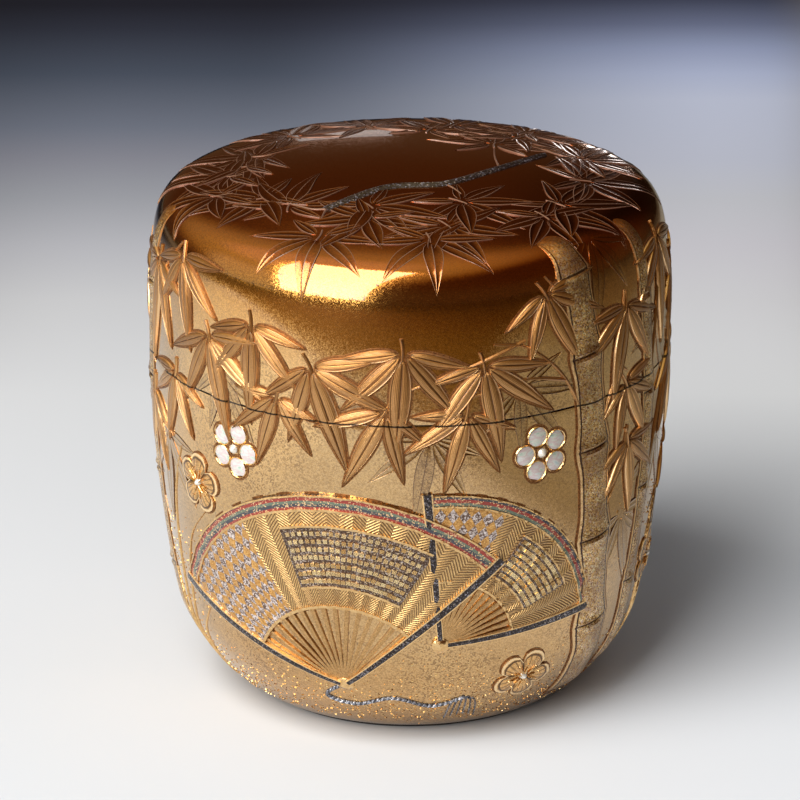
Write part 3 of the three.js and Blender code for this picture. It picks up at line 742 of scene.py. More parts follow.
def circle(place, out, across, radius, width, lift):
    """A raised round-backed ring."""
    angle = per_column(np.linspace(0, TURN, ROUND_STEPS))
    offsets = per_row(ROUND_SHARES)
    around_it = radius + offsets * width / 2
    places = place(out + around_it * np.cos(angle), across + around_it * np.sin(angle))
    return pads(places, ROUND_RIM + lift * per_row(ROUND_BACK), (offsets, angle / TURN, 0), form="ring")


def blossom_outline(radius, notch):
    """Five round petals: the radius swells from each notch by the root of a cosine's size."""
    return lambda angle: radius * (notch + (1 - notch) * np.abs(np.cos(2.5 * angle)) ** 0.5)


def round_outline(radius):
    return lambda angle: radius


def domed(rim, crest, fall=1.5):
    """A round lift: the rim plus the crest times the cosine of the share of the way out times fall."""
    return lambda share, angle: rim + crest * np.cos(share * fall)


def gold_blossom(site):
    """A blossom whose petals swell by sines between grooves, with fine veins and a raised edge."""
    place = side_chart(*site)

    def lift(share, angle):
        petal = np.abs(np.cos(2.5 * angle)) ** 0.6
        vein = 0.03 * np.cos(25 * angle) * share
        return 0.14 + 0.3 * np.sin(math.pi * share**1.3) * petal + ridge(share, *PETAL_EDGE) + vein

    return disc(place, 0, 0, blossom_outline(BLOSSOM_RADIUS, 0.58), lift, seed=dice.uniform())


def flat_pad(share, angle):
    return OUTLINE_SHADOW_LIFT


def stamens(site, radius=1.9, count=10, half=0.09):
    """Thin raised lines out of the blossom's middle, longer and shorter in turn. half is half the
    width of one."""
    place = side_chart(*site)
    angle = per_pad(np.arange(count) / count * TURN + 0.3)
    reach = radius * per_pad(1 - 0.22 * (np.arange(count) % 2))
    along = per_row(np.linspace(0.35, 1, 5)) * reach
    off = per_column(FLAT_SHARES) * half
    out, across = swung(along, off, angle)
    lift = 0.5 + 0.08 * (1 - (off / half) ** 2)
    return pads(place(out, across), lift, (out, across, 0))


def dots(place, ring_radius, count, size, crest, turned_by):
    """Small round grains in a ring."""
    angles = [(number / count + turned_by) * TURN for number in range(count)]
    middles = [(ring_radius * math.cos(angle), ring_radius * math.sin(angle)) for angle in angles]
    return [grain(place, out, across, size, crest) for out, across in middles]


def grain(place, out, across, size, crest):
    """A low dome of few faces, which falls from crest to rim by the cosine of a quarter turn."""
    angle = per_column(np.linspace(0, TURN, 9))
    share = per_row([0, 0.5, 0.85, 1])
    lift = GRAIN_RIM + (crest - GRAIN_RIM) * np.cos(share * math.pi / 2)
    places = place(out + share * size * np.cos(angle), across + share * size * np.sin(angle))
    return pads(places, lift, (share, 0, 0), form="disc")


# Finishes


class Finish:
    """Wires one material. What is fed to a socket is a constant or another node's output."""

    def __init__(self, name, **settings):
        self.material = bpy.data.materials.new(name)
        self.material.use_nodes = True
        self.tree = self.material.node_tree
        self.surface = self.tree.nodes["Principled BSDF"]
        self.done(**settings)
        self.place = self.add("TexCoord").outputs["Object"]

    def wire(self, node, inputs):
        for key, value in inputs.items():
            if isinstance(value, bpy.types.NodeSocket):
                self.tree.links.new(value, node.inputs[key])
            else:
                node.inputs[key].default_value = value
        return node

    def add(self, kind, inputs=None, **settings):
        node = self.tree.nodes.new("ShaderNode" + kind)
        for key, value in settings.items():
            setattr(node, key, value)
        return self.wire(node, inputs or {})

    def marks(self):
        """The three numbers that a pad carries at each place."""
        return self.parts(self.add("Attribute", attribute_name="marks").outputs["Vector"])

    def parts(self, vector):
        return self.add("SeparateXYZ", {"Vector": vector}).outputs

    def height(self):
        return self.parts(self.place)["Z"]

    def sum(self, operation, first, second=0.0, third=0.0):
        return self.add("Math", {0: first, 1: second, 2: third}, operation=operation).outputs[0]

    def times(self, first, second):
        return self.sum("MULTIPLY", first, second)

    def scaled(self, value, factor, base):
        """The value times the factor, plus the base."""
        return self.sum("MULTIPLY_ADD", value, factor, base)

    def rest(self, share):
        """What a share leaves: 1 minus it."""
        return self.sum("SUBTRACT", 1.0, share)

    def either(self, first, second):
        """The greater of two shares."""
        return self.sum("MAXIMUM", first, second)

    def vector(self, operation, *inputs):
        return self.add("VectorMath", dict(enumerate(inputs)), operation=operation).outputs

    def with_seam_shade(self, colour):
        """The colour with a dark line of painted shade across it at the joint, where the coats' edges show.
        """
        middle = (SEAM_HEIGHT + SEAM_GAP / 2) * MM
        seam = self.sum("COMPARE", self.height(), middle, SEAM_LINE / 2 * MM)
        return self.mix(self.times(seam, 0.9), colour, SEAM_SHADE)

    def span(self, value, low, high, interpolation="LINEAR"):
        """0 below low and 1 above high, even between them."""
        inputs = {"Value": value, "From Min": low, "From Max": high}
        return self.add("MapRange", inputs, interpolation_type=interpolation).outputs[0]

    def step(self, value, low, high):
        """0 below low and 1 above high, smooth between them."""
        return self.span(value, low, high, "SMOOTHSTEP")

    def mix(self, share, first, second):
        """From the first colour to the second by a share."""
        return self.add("Mix", {0: share, 6: first, 7: second}, data_type="RGBA").outputs[2]

    def ramp(self, share, stops, interpolation="LINEAR"):
        """The colour at a share of a ramp of (share, colour) stops."""
        node = self.add("ValToRGB", {0: share})
        node.color_ramp.interpolation = interpolation
        for _ in range(len(stops) - 2):
            node.color_ramp.elements.new(0.5)
        for element, (position, colour) in zip(node.color_ramp.elements, stops):
            element.position = position
            element.color = colour
        return node.outputs[0]

    def noise(self, size, detail, stretch=(1, 1, 1)):
        """Cloudy noise whose lumps are about size millimetres."""
        scaled = self.add("Mapping", {"Vector": self.place, "Scale": stretch}).outputs[0]
        inputs = {"Vector": scaled, "Scale": 1 / (size * MM), "Detail": detail}
        return self.add("TexNoise", inputs).outputs["Fac"]

    def cells(self, size):
        """Cells about size millimetres across, each with a colour of its own."""
        inputs = {"Vector": self.place, "Scale": 1 / (size * MM)}
        return self.add("TexVoronoi", inputs).outputs["Color"]

    def tones(self, colour):
        return self.add("SeparateColor", {0: colour}).outputs

    def bump(self, height, depth, normal=None):
        """Raises the surface by up to depth millimetres where height is 1."""
        inputs = {"Height": height, "Distance": depth * MM, "Strength": 1.0}
        if normal:
            inputs["Normal"] = normal
        return self.add("Bump", inputs).outputs[0]

    def powder(self, size, tilt):
        """Metal powder: each cell is a flake with a random tone and a normal tilted its own way."""
        cells = self.cells(size)
        shift = self.vector("SUBTRACT", cells, (0.5, 0.5, 0.5))[0]
        normal = self.add("NewGeometry").outputs["Normal"]
        leaned = self.vector("MULTIPLY_ADD", shift, (tilt, tilt, tilt), normal)[0]
        return self.tones(cells), self.vector("NORMALIZE", leaned)[0]

    def done(self, **inputs):
        """Feeds the surface's sockets, named in lower case with underscores, and gives the material."""
        named = {key.replace("_", " ").title().replace("Ior", "IOR"): value for key, value in inputs.items()}
        self.wire(self.surface, named)
        return self.material


def rgb(red, green, blue):
    return (red, green, blue, 1.0)


GOLD_DARK = rgb(0.34, 0.185, 0.065)
GOLD_BRIGHT = rgb(0.85, 0.57, 0.265)
# The lacquer's amber and the crown's brown, darkened as painted shade for the dark reflections up the lid
SHADED_AMBER_DARK = rgb(0.26, 0.11, 0.02)
SHADED_AMBER_BRIGHT = rgb(0.78, 0.42, 0.11)
SHADED_CROWN_DARK = rgb(0.26, 0.06, 0.007)
SHADED_CROWN_BRIGHT = rgb(0.5, 0.155, 0.02)
# Painted shade: a darker, redder gold round the heel, for the darker reflections near the floor
HEEL_SHADE_DARK = rgb(0.2, 0.09, 0.024)
HEEL_SHADE_BRIGHT = rgb(0.74, 0.44, 0.17)
LINE_DARK = rgb(0.05, 0.02, 0.012)
LINE_BROWN = rgb(0.1, 0.035, 0.012)
# Painted shade in the gap between lid and body
SEAM_SHADE = rgb(0.02, 0.008, 0.004)
BLACK = rgb(0.0, 0.0, 0.0)
# Heights between which the finishes change, in metres, as a material reads them
HEEL_BAND = (0.004, 0.02)
LEAF_SHADE_BAND = (0.044, 0.06)
AMBER_SHADE_BAND = (0.048, 0.062)
LINE_SHADE_BAND = (0.0605, 0.0655)
CROWN_SHADE_BAND = (0.0605, 0.0662)
POLISH_BAND = (0.064, 0.0665)
AMBER_COAT = {
    "metallic": 1.0,
    "coat_weight": 0.85,
    "coat_roughness": 0.03,
    "coat_ior": 1.6,
    "coat_tint": rgb(1.0, 0.95, 0.86),
}


def ground_colour(finish, tones):
    """Gold powder under lacquer, with dark specks in drifts. Up the lid it deepens to amber and on the
    crown to brown: the lacquer's amber, with painted shade for the dark reflections there. Round the
    heel it turns a darker, redder gold, which is painted shade near the floor."""
    height = finish.height()
    cloud = finish.noise(9.0, 2.0)
    grains = finish.step(tones[0], 0.0, 0.9)
    tone = finish.scaled(grains, 0.42, finish.scaled(cloud, 0.3, 0.19))
    side = finish.mix(tone, GOLD_DARK, GOLD_BRIGHT)
    amber = finish.mix(tone, SHADED_AMBER_DARK, SHADED_AMBER_BRIGHT)
    top = finish.mix(tone, SHADED_CROWN_DARK, SHADED_CROWN_BRIGHT)
    low = finish.mix(tone, HEEL_SHADE_DARK, HEEL_SHADE_BRIGHT)
    waver = finish.scaled(cloud, 0.004, height)
    # painted shade round the heel
    heel_shade = finish.rest(finish.step(waver, *HEEL_BAND))
    side = finish.mix(finish.times(heel_shade, 0.75), side, low)
    grain = finish.tones(finish.cells(0.2))[0]
    drift = finish.scaled(finish.step(finish.noise(12.0, 2.0), 0.42, 0.62), 0.4, 0.15)
    speck = finish.times(finish.sum("LESS_THAN", grain, 0.3), drift)
    side = finish.mix(speck, side, rgb(0.15, 0.07, 0.02))
    # painted shade up the lid and on the crown
    side = finish.mix(finish.step(height, *AMBER_SHADE_BAND), side, amber)
    return finish.with_seam_shade(finish.mix(finish.step(height, *CROWN_SHADE_BAND), side, top))


def gold_ground():
    """The gold coats, glossy under their lacquer, which is thinner round the heel."""
    finish = Finish("gold_powder_ground", **AMBER_COAT)
    tones, normal = finish.powder(0.12, 0.06)
    height = finish.height()
    on_top = finish.step(height, *POLISH_BAND)
    rough = finish.scaled(tones[1], 0.08, finish.scaled(on_top, -0.05, 0.1))
    coat = finish.scaled(finish.step(height, *HEEL_BAND), 0.55, 0.3)
    colour = ground_colour(finish, tones)
    return finish.done(base_color=colour, roughness=rough, coat_weight=coat, normal=normal)


def leaf_gold():
    """Satin leaves: a fine dark midrib, a thin dark line inside the pale edge and faint veins. They
    are deeper and redder on the lid, which is painted shade, as on the ground."""
    finish = Finish("raised_leaf_gold", metallic=0.9, coat_weight=0.35, coat_roughness=0.12)
    tones, normal = finish.powder(0.1, 0.14)
    marks = finish.marks()
    side = finish.sum("ABSOLUTE", marks["Y"])
    cloud = finish.scaled(finish.noise(3.0, 2.0), 0.4, finish.times(marks["Z"], 0.3))
    share = finish.scaled(tones[0], 0.3, cloud)
    body = finish.mix(share, rgb(0.36, 0.165, 0.05), rgb(0.77, 0.44, 0.175))
    lid = finish.mix(share, rgb(0.24, 0.09, 0.02), rgb(0.6, 0.3, 0.09))
    # painted shade: the leaves deepen on the lid as the ground does
    fill = finish.mix(finish.step(finish.height(), *LEAF_SHADE_BAND), body, lid)
    vein = finish.sum("SINE", finish.times(marks["Y"], 40.0))
    veined = finish.mix(finish.times(finish.step(vein, 0.4, 1.0), 0.25), fill, LINE_DARK)
    line = finish.either(finish.sum("LESS_THAN", side, 0.055), finish.sum("COMPARE", side, 0.85, 0.025))
    lined = finish.mix(finish.times(line, 0.75), veined, LINE_BROWN)
    edge = finish.times(finish.step(side, 0.89, 0.92), 0.8)
    colour = finish.with_seam_shade(finish.mix(edge, lined, rgb(0.98, 0.66, 0.34)))
    return finish.done(base_color=colour, roughness=0.3, normal=finish.bump(vein, 0.012, normal))


def drawn_leaf(name="drawn_leaf_lines", is_stalk=False):
    """Leaves drawn in fine raised lines of pale powder, which is less metallic than the ground. The
    fill is a little redder than the crown. Fill and lines are darker on the crown than where the
    leaves come over the shoulder and turn orange, which is painted shade on the crown, as on the ground."""
    finish = Finish(name, coat_weight=0.6, coat_roughness=0.08)
    tones, normal = finish.powder(0.15, 0.06)
    side = finish.sum("ABSOLUTE", finish.marks()["Y"])
    edge = finish.step(side, 0.905, 0.93)
    line = 1.0 if is_stalk else finish.either(edge, finish.sum("LESS_THAN", side, 0.048))
    # painted shade: darker fill and lines on the crown than on the shoulder
    low = finish.rest(finish.step(finish.height(), *LINE_SHADE_BAND))
    crown = finish.mix(tones[0], rgb(0.2, 0.05, 0.009), rgb(0.38, 0.11, 0.022))
    orange = finish.mix(tones[0], rgb(0.4, 0.16, 0.035), rgb(0.74, 0.36, 0.1))
    fill = finish.mix(low, crown, orange)
    pale = finish.mix(low, rgb(0.23, 0.12, 0.08), rgb(0.72, 0.42, 0.2))
    colour = finish.mix(line, fill, pale)
    metal = finish.scaled(line, -0.65, 1.0)
    rough = finish.scaled(line, 0.2, 0.2)
    return finish.done(base_color=colour, metallic=metal, roughness=rough, normal=normal)


def low_leaf():
    """Leaves in the ground's own gold, a little deeper, between fine dark lines."""
    finish = Finish("low_leaf_gold", **AMBER_COAT)
    tones, normal = finish.powder(0.12, 0.08)
    side = finish.sum("ABSOLUTE", finish.marks()["Y"])
    line = finish.either(finish.sum("LESS_THAN", side, 0.06), finish.step(side, 0.88, 0.92))
    fill = finish.mix(0.2, ground_colour(finish, tones), LINE_DARK)
    colour = finish.mix(finish.times(line, 0.75), fill, rgb(0.12, 0.05, 0.02))
    return finish.done(base_color=colour, roughness=0.24, normal=normal)


def sprinkled(name, size, stops, coat=0.35, metal=0.9):
    """Coarse sprinkled powders of mixed metals: each grain takes one of the colours by its tone."""
    finish = Finish(name, metallic=metal, coat_weight=coat, coat_roughness=0.12)
    tones, normal = finish.powder(size, 0.42)
    grains = finish.ramp(tones[0], stops, "CONSTANT")
    cloud = finish.step(finish.noise(4.5, 3.0), 0.38, 0.68)
    shade = finish.mix(finish.times(cloud, 0.6), grains, stops[0][1])
    return finish, shade, normal, tones


# What each grain of a sprinkled ground may be: the tone it starts at and its colour
CULM_STOPS = [
    (0.0, rgb(0.2, 0.09, 0.03)),
    (0.16, rgb(0.55, 0.32, 0.11)),
    (0.4, rgb(0.64, 0.44, 0.33)),
    (0.56, rgb(0.85, 0.54, 0.21)),
    (0.86, rgb(1.0, 0.84, 0.5)),
]
TWIG_STOPS = [
    (0.0, rgb(0.02, 0.012, 0.01)),
    (0.45, rgb(0.045, 0.032, 0.03)),
    (0.7, rgb(0.11, 0.09, 0.09)),
    (0.86, rgb(0.32, 0.3, 0.34)),
    (0.95, rgb(0.42, 0.34, 0.26)),
]
FAN_STOPS = [
    (0.0, rgb(0.07, 0.035, 0.02)),
    (0.3, rgb(0.14, 0.08, 0.05)),
    (0.55, rgb(0.27, 0.2, 0.15)),
    (0.8, rgb(0.62, 0.53, 0.47)),
    (0.93, rgb(0.9, 0.68, 0.38)),
]


def culm_powder():
    """Sprinkled culms between pale raised edges, whose ends thin out into the ground."""
    finish, shade, normal, tones = sprinkled("culm_powder", 0.15, CULM_STOPS)
    marks = finish.marks()
    side = finish.sum("ABSOLUTE", marks["Y"])
    node = finish.sum("COMPARE", marks["X"], 0.0, 0.14)
    dark = finish.mix(finish.times(node, 0.8), shade, LINE_DARK)
    edge = finish.step(side, 0.88, 0.9)
    rimmed = finish.mix(finish.sum("COMPARE", side, 0.83, 0.04), dark, LINE_DARK)
    colour = finish.mix(finish.times(edge, 0.8), rimmed, rgb(0.85, 0.56, 0.27))
    faded = finish.step(marks["Z"], 0.0, 0.9)
    blended = finish.mix(faded, ground_colour(finish, tones), finish.with_seam_shade(colour))
    fibre = finish.noise(0.5, 2.0, stretch=(1, 1, 0.12))
    return finish.done(base_color=blended, roughness=0.34, normal=finish.bump(fibre, 0.03, normal))


def twig_powder():
    """The twig: dark lacquer sprinkled with grey and silver grains, faintly fibrous."""
    finish, shade, normal, _ = sprinkled("twig_powder", 0.17, TWIG_STOPS, coat=0.2, metal=0.3)
    fibre = finish.noise(0.4, 3.0)
    return finish.done(base_color=shade, roughness=0.3, normal=finish.bump(fibre, 0.06, normal))


def fan_hatch():
    """Fine lines ruled in chevrons: their height follows the radius plus a zigzag across the leaf."""
    finish = Finish("fan_hatch", metallic=0.85, coat_weight=0.3, coat_roughness=0.15)
    tones, normal = finish.powder(0.1, 0.2)
    marks = finish.marks()
    zigzag = finish.sum("PINGPONG", marks["X"], 1.35)
    ruled = finish.sum("SINE", finish.times(finish.sum("ADD", marks["Y"], zigzag), 14.0))
    fill = finish.mix(tones[0], rgb(0.45, 0.26, 0.09), rgb(0.82, 0.54, 0.23))
    line = finish.step(ruled, 0.35, 0.85)
    colour = finish.mix(line, fill, rgb(0.15, 0.075, 0.03))
    return finish.done(base_color=colour, roughness=0.38, normal=finish.bump(ruled, 0.035, normal))


def fan_checker():
    """Gold lozenges and lozenges of silver-violet grains on dark lacquer, in turn."""
    finish = Finish("fan_checker", metallic=0.85, coat_weight=0.3, coat_roughness=0.12)
    tones, normal = finish.powder(0.16, 0.4)
    marks = finish.marks()
    slant = finish.times(marks["Y"], 0.62)
    first = finish.sum("ADD", marks["X"], slant)
    second = finish.sum("SUBTRACT", marks["X"], slant)
    lozenge = finish.add("CombineXYZ", {"X": first, "Y": second, "Z": 0.5}).outputs[0]
    checks = finish.add("TexChecker", {"Vector": lozenge, "Scale": 0.8}).outputs["Fac"]
    silver = finish.mix(finish.step(tones[0], 0.35, 0.75), rgb(0.16, 0.1, 0.075), rgb(0.78, 0.68, 0.64))
    gold = finish.mix(tones[1], rgb(0.48, 0.22, 0.05), rgb(0.8, 0.46, 0.15))
    colour = finish.mix(checks, silver, gold)
    return finish.done(base_color=colour, roughness=0.35, normal=finish.bump(checks, 0.08, normal))


def fan_band():
    """Three narrow edge stripes by radius: red, dark grey and grey-green, with gold grains."""
    finish = Finish("fan_band", metallic=0.35, coat_weight=0.5, coat_roughness=0.1)
    tones, normal = finish.powder(0.14, 0.3)
    radius = finish.sum("FRACT", finish.times(finish.marks()["Y"], 0.8))
    past_red = finish.sum("GREATER_THAN", radius, 0.36)
    past_grey = finish.sum("GREATER_THAN", radius, 0.7)
    stripe = finish.mix(past_red, rgb(0.3, 0.035, 0.02), rgb(0.05, 0.05, 0.06))
    stripe = finish.mix(past_grey, stripe, rgb(0.13, 0.16, 0.11))
    colour = finish.mix(finish.step(tones[0], 0.8, 0.9), stripe, rgb(0.75, 0.5, 0.25))
    return finish.done(base_color=colour, roughness=0.35, normal=normal)


def painted_outline_shadow():
    """Dark brown painted shadow in a fine line round each motif, at the foot of its relief, which sets the
    motif off from the ground.
    """
    finish = Finish("painted_outline_shadow", metallic=0.7, specular_ior_level=0.2)
    tones, normal = finish.powder(0.12, 0.2)
    colour = finish.mix(tones[0], LINE_BROWN, rgb(0.34, 0.16, 0.055))
    return finish.done(base_color=colour, roughness=0.45, normal=normal)


def fan_dark():
    """The dark window in a fan's leaf, sprinkled with silver and gold."""
    finish, shade, normal, _ = sprinkled("fan_dark_ground", 0.14, FAN_STOPS)
    return finish.done(base_color=shade, roughness=0.35, normal=normal)


def cut_gold():
    """Cut squares of gold, each with a dark ring inked on it."""
    finish = Finish("cut_gold", metallic=1.0, coat_weight=0.3, coat_roughness=0.1)
    _, normal = finish.powder(0.6, 0.45)
    marks = finish.marks()
    flat = finish.add("CombineXYZ", {"X": marks["X"], "Y": marks["Y"], "Z": 0.0}).outputs[0]
    from_middle = finish.vector("LENGTH", flat)["Value"]
    ring = finish.sum("COMPARE", from_middle, 0.58, 0.13)
    gold = finish.mix(marks["Z"], rgb(0.66, 0.38, 0.12), rgb(0.98, 0.76, 0.4))
    colour = finish.mix(finish.times(ring, 0.85), gold, rgb(0.12, 0.05, 0.02))
    return finish.done(base_color=colour, roughness=0.25, normal=normal)


def petal_gold():
    """Gold petals with dark folds between them, dark veins and a pale edge."""
    finish = Finish("petal_gold", metallic=0.85, coat_weight=0.25, coat_roughness=0.15)
    tones, normal = finish.powder(0.12, 0.25)
    marks = finish.marks()
    fold = finish.sum("ABSOLUTE", finish.sum("COSINE", finish.times(marks["Y"], 2.5 * TURN)))
    vein = finish.sum("GREATER_THAN", finish.sum("COSINE", finish.times(marks["Y"], 25 * TURN)), 0.55)
    veined = finish.times(finish.times(vein, finish.step(marks["X"], 0.3, 0.6)), 0.55)
    rim = finish.sum("COMPARE", marks["X"], 0.85, 0.035)
    line = finish.either(finish.sum("LESS_THAN", fold, 0.16), rim)
    gold = finish.mix(tones[0], rgb(0.52, 0.25, 0.07), rgb(0.86, 0.54, 0.22))
    lined = finish.mix(finish.either(finish.times(line, 0.85), veined), gold, LINE_DARK)
    colour = finish.mix(finish.step(marks["X"], 0.9, 0.93), lined, rgb(0.95, 0.68, 0.36))
    return finish.done(base_color=colour, roughness=0.34, normal=normal)


def fan_guard():
    """The outer sticks: sprinkled dark lacquer between raised gold edges."""
    finish, shade, normal, _ = sprinkled("fan_guard", 0.14, TWIG_STOPS, coat=0.5)
    edge = finish.step(finish.sum("ABSOLUTE", finish.marks()["Y"]), 0.7, 0.76)
    colour = finish.mix(edge, shade, rgb(0.85, 0.56, 0.25))
    return finish.done(base_color=colour, roughness=0.32, normal=normal)


def bright_gold(name, first, second, roughness, size=0.3, tilt=0.35):
    """Smooth raised or laid gold, between two tones, that is worn brighter in places."""
    finish = Finish(name, metallic=1.0, coat_weight=0.2, coat_roughness=0.1)
    tones, normal = finish.powder(size, tilt)
    worn = finish.noise(0.35, 3.0)
    colour = finish.mix(finish.scaled(tones[0], 0.7, finish.times(worn, 0.3)), first, second)
    return finish.done(base_color=colour, roughness=roughness, normal=normal)


def cord_twist():
    """Two-strand cord: its strands show as slanting bands of grey-blue with silver grains."""
    finish = Finish("fan_cord", metallic=0.5, coat_weight=0.3, coat_roughness=0.15)
    tones, normal = finish.powder(0.13, 0.35)
    marks = finish.marks()
    slant = finish.scaled(marks["Y"], 4.0, finish.times(marks["X"], 9.0))
    strand = finish.sum("SINE", slant)
    tone = finish.mix(finish.step(strand, -0.6, 0.4), rgb(0.03, 0.03, 0.04), rgb(0.17, 0.18, 0.22))
    colour = finish.mix(finish.step(tones[0], 0.76, 0.88), tone, rgb(0.52, 0.52, 0.55))
    return finish.done(base_color=colour, roughness=0.35, normal=finish.bump(strand, 0.06, normal))


def nacre():
    """Polished shell: pearly white that drifts to green, pink and blue in slow bands."""
    finish = Finish("pearl_shell", coat_weight=1.0, coat_roughness=0.03, specular_ior_level=0.8)
    swirl = finish.noise(1.3, 4.0, stretch=(1, 1, 2.2))
    colour = finish.ramp(swirl, [
        (0.25, rgb(0.3, 0.5, 0.4)),
        (0.4, rgb(0.68, 0.7, 0.62)),
        (0.5, rgb(0.66, 0.5, 0.5)),
        (0.6, rgb(0.7, 0.72, 0.68)),
        (0.78, rgb(0.36, 0.52, 0.64)),
    ])
    streaks = finish.bump(finish.noise(0.25, 2.0, stretch=(1, 1, 5)), 0.02)
    return finish.done(base_color=colour, metallic=0.35, roughness=0.18, normal=streaks)


def pearl():
    """Cream beads that are lighter and darker in soft clouds."""
    finish = Finish("pearl_bead", coat_weight=1.0, coat_roughness=0.05, metallic=0.25)
    tone = finish.noise(0.4, 2.0)
    colour = finish.mix(tone, rgb(0.6, 0.53, 0.42), rgb(0.85, 0.82, 0.74))
    return finish.done(base_color=colour, roughness=0.2, normal=finish.bump(tone, 0.01))


def black_lacquer():
    """Deep black lacquer with faint polishing lines and a warm cast where it thins."""
    finish = Finish("black_lacquer", coat_weight=1.0, coat_roughness=0.03, coat_ior=1.5)
    cloud = finish.noise(6.0, 3.0)
    colour = finish.mix(cloud, rgb(0.006, 0.005, 0.005), rgb(0.022, 0.014, 0.01))
    lines = finish.noise(0.8, 4.0, stretch=(0.3, 0.3, 6))
    rough = finish.scaled(lines, 0.14, 0.12)
    return finish.done(base_color=colour, roughness=rough, normal=finish.bump(lines, 0.006))


def turned_wood():
    """Close-grained wood: growth rings about a line beside the axis, with fibres along them."""
    finish = Finish("turned_wood")
    moved = finish.add("Mapping", {"Vector": finish.place, "Location": (0.05, 0.02, 0)}).outputs[0]
    inputs = {"Vector": moved, "Scale": 90.0, "Distortion": 1.2, "Detail": 2.0}
    rings = finish.add("TexWave", inputs, wave_type="RINGS", rings_direction="Z").outputs["Fac"]
    fibre = finish.noise(0.5, 4.0, stretch=(1, 1, 0.08))
    tone = finish.scaled(fibre, 0.35, finish.times(rings, 0.65))
    colour = finish.mix(tone, rgb(0.33, 0.17, 0.075), rgb(0.56, 0.34, 0.17))
    return finish.done(base_color=colour, roughness=0.6, normal=finish.bump(fibre, 0.03))


# The turned pieces


def base_section():
    """The black base: a hollow, the foot ring round it and a ledge up to the wood."""
    inner = FOOT_RADIUS - FOOT_RING_WIDTH
    ledge = inner + BASE_COAT
    corners = [
        (0, FOOT_RECESS),
        (inner, FOOT_RECESS),
        (inner, 0),
        (FOOT_RADIUS, 0),
        (FOOT_RADIUS, BASE_COAT - BOND),
        (ledge, BASE_COAT - BOND),
        (ledge, FOOT_RECESS + BASE_COAT),
        (0, FOOT_RECESS + BASE_COAT),
    ]
    return eased(np.array(corners, float), BASE_EASE)


def body_core_section():
    """The turned cup from its underside, up outside and over the lip, and down inside."""
    inner = FOOT_RADIUS - FOOT_RING_WIDTH + BASE_COAT + BOND
    outside = inset(body_outline(), GOLD_COAT + BOND)
    inside = inset(cup_inside(), UNDER_LINING)
    low = [(0, FOOT_RECESS + BASE_COAT + BOND), (inner, FOOT_RECESS + BASE_COAT + BOND)]
    low += [(inner, BASE_COAT + BOND), (outside[0, 0] - BOND, BASE_COAT + BOND)]
    shoulder = SEAM_HEIGHT - UNDER_LINING
    top = LIP_TOP - UNDER_LINING
    lip = [(COAT_INSIDE, shoulder), (LIP_RADIUS - UNDER_LINING, shoulder)]
    lip += [(LIP_RADIUS - UNDER_LINING, top), (MOUTH_RADIUS + UNDER_LINING, top)]
    return eased(chain(low, outside[1:-1], lip, inside, [(0, FLOOR_HEIGHT - UNDER_LINING)]), WOOD_EASE)


def body_lining_section():
    """The black coat down the cup's inside, over the lip and over the shoulder."""
    inside = cup_inside()
    outside = inset(cup_inside(), LINING)
    under = SEAM_HEIGHT - LINING
    shoulder = [(MOUTH_RADIUS + LINING, LIP_TOP - LINING), (LIP_RADIUS - LINING, LIP_TOP - LINING)]
    shoulder += [(LIP_RADIUS - LINING, under), (COAT_INSIDE, under), (COAT_INSIDE, SEAM_HEIGHT)]
    shoulder += [(LIP_RADIUS, SEAM_HEIGHT), (LIP_RADIUS, LIP_TOP), (MOUTH_RADIUS, LIP_TOP)]
    ends = [(0, FLOOR_HEIGHT - LINING)], [(0, FLOOR_HEIGHT)]
    return eased(chain(ends[0], outside[::-1], shoulder, inside, ends[1]), BODY_LINING_EASE)


def body_gold_section():
    """The gold coat outside the body, between the outline and its inset."""
    return eased(chain(body_outline(), inset(body_outline(), GOLD_COAT)[::-1]), COAT_EASE)


def lid_core_section():
    """The turned lid from its ceiling, down inside, round the rim and up outside."""
    inside = inset(lid_inside(), -UNDER_LINING)
    rim_height = RIM_HEIGHT + UNDER_LINING
    rim = [(LID_INNER_RADIUS + UNDER_LINING, rim_height), (COAT_INSIDE, rim_height)]
    outside = inset(lid_outline(), GOLD_COAT + BOND)
    outside[-1, 0] = 0
    top = [(0, CEILING_HEIGHT + UNDER_LINING)]
    return eased(chain(top, inside[::-1], rim, outside[1:]), WOOD_EASE)


def lid_lining_section():
    """The black coat inside the lid and under its rim."""
    rim = [(LID_INNER_RADIUS, RIM_HEIGHT), (COAT_INSIDE, RIM_HEIGHT), (COAT_INSIDE, RIM_HEIGHT + LINING)]
    rim += [(LID_INNER_RADIUS + LINING, RIM_HEIGHT + LINING)]
    outside = inset(lid_inside(), -LINING)
    ends = [(0, CEILING_HEIGHT)], [(0, CEILING_HEIGHT + LINING)]
    return eased(chain(ends[0], lid_inside()[::-1], rim, outside, ends[1]), LID_LINING_EASE)


def lid_gold_section():
    """The gold coat outside the lid, between the outline's inset and the outline."""
    under = inset(lid_outline(), GOLD_COAT)
    under[-1, 0] = 0
    return eased(chain(under[::-1], lid_outline()), COAT_EASE)


ground = gold_ground()
black = black_lacquer()
wood = turned_wood()
turned_piece("base_black", base_section(), black, "body", "base_lacquer")
turned_piece("body_wood", body_core_section(), wood, "body", "body_core")
turned_piece("body_black_lining", body_lining_section(), black, "body", "body_lining")
turned_piece("body_gold_coat", body_gold_section(), ground, "body", "body_gold_lacquer", loop=True)
turned_piece("lid_wood", lid_core_section(), wood, "lid", "lid_core")
turned_piece("lid_black_lining", lid_lining_section(), black, "lid", "lid_lining")
turned_piece("lid_gold_coat", lid_gold_section(), ground, "lid", "lid_gold_lacquer")

# Where the ornament lies: around is a share of a turn from the front to the right, up a share of the
# way up the outline, heading a share of a turn clockwise from up. A spray's last share is its size, and
# a fan's is how far it opens, of a turn

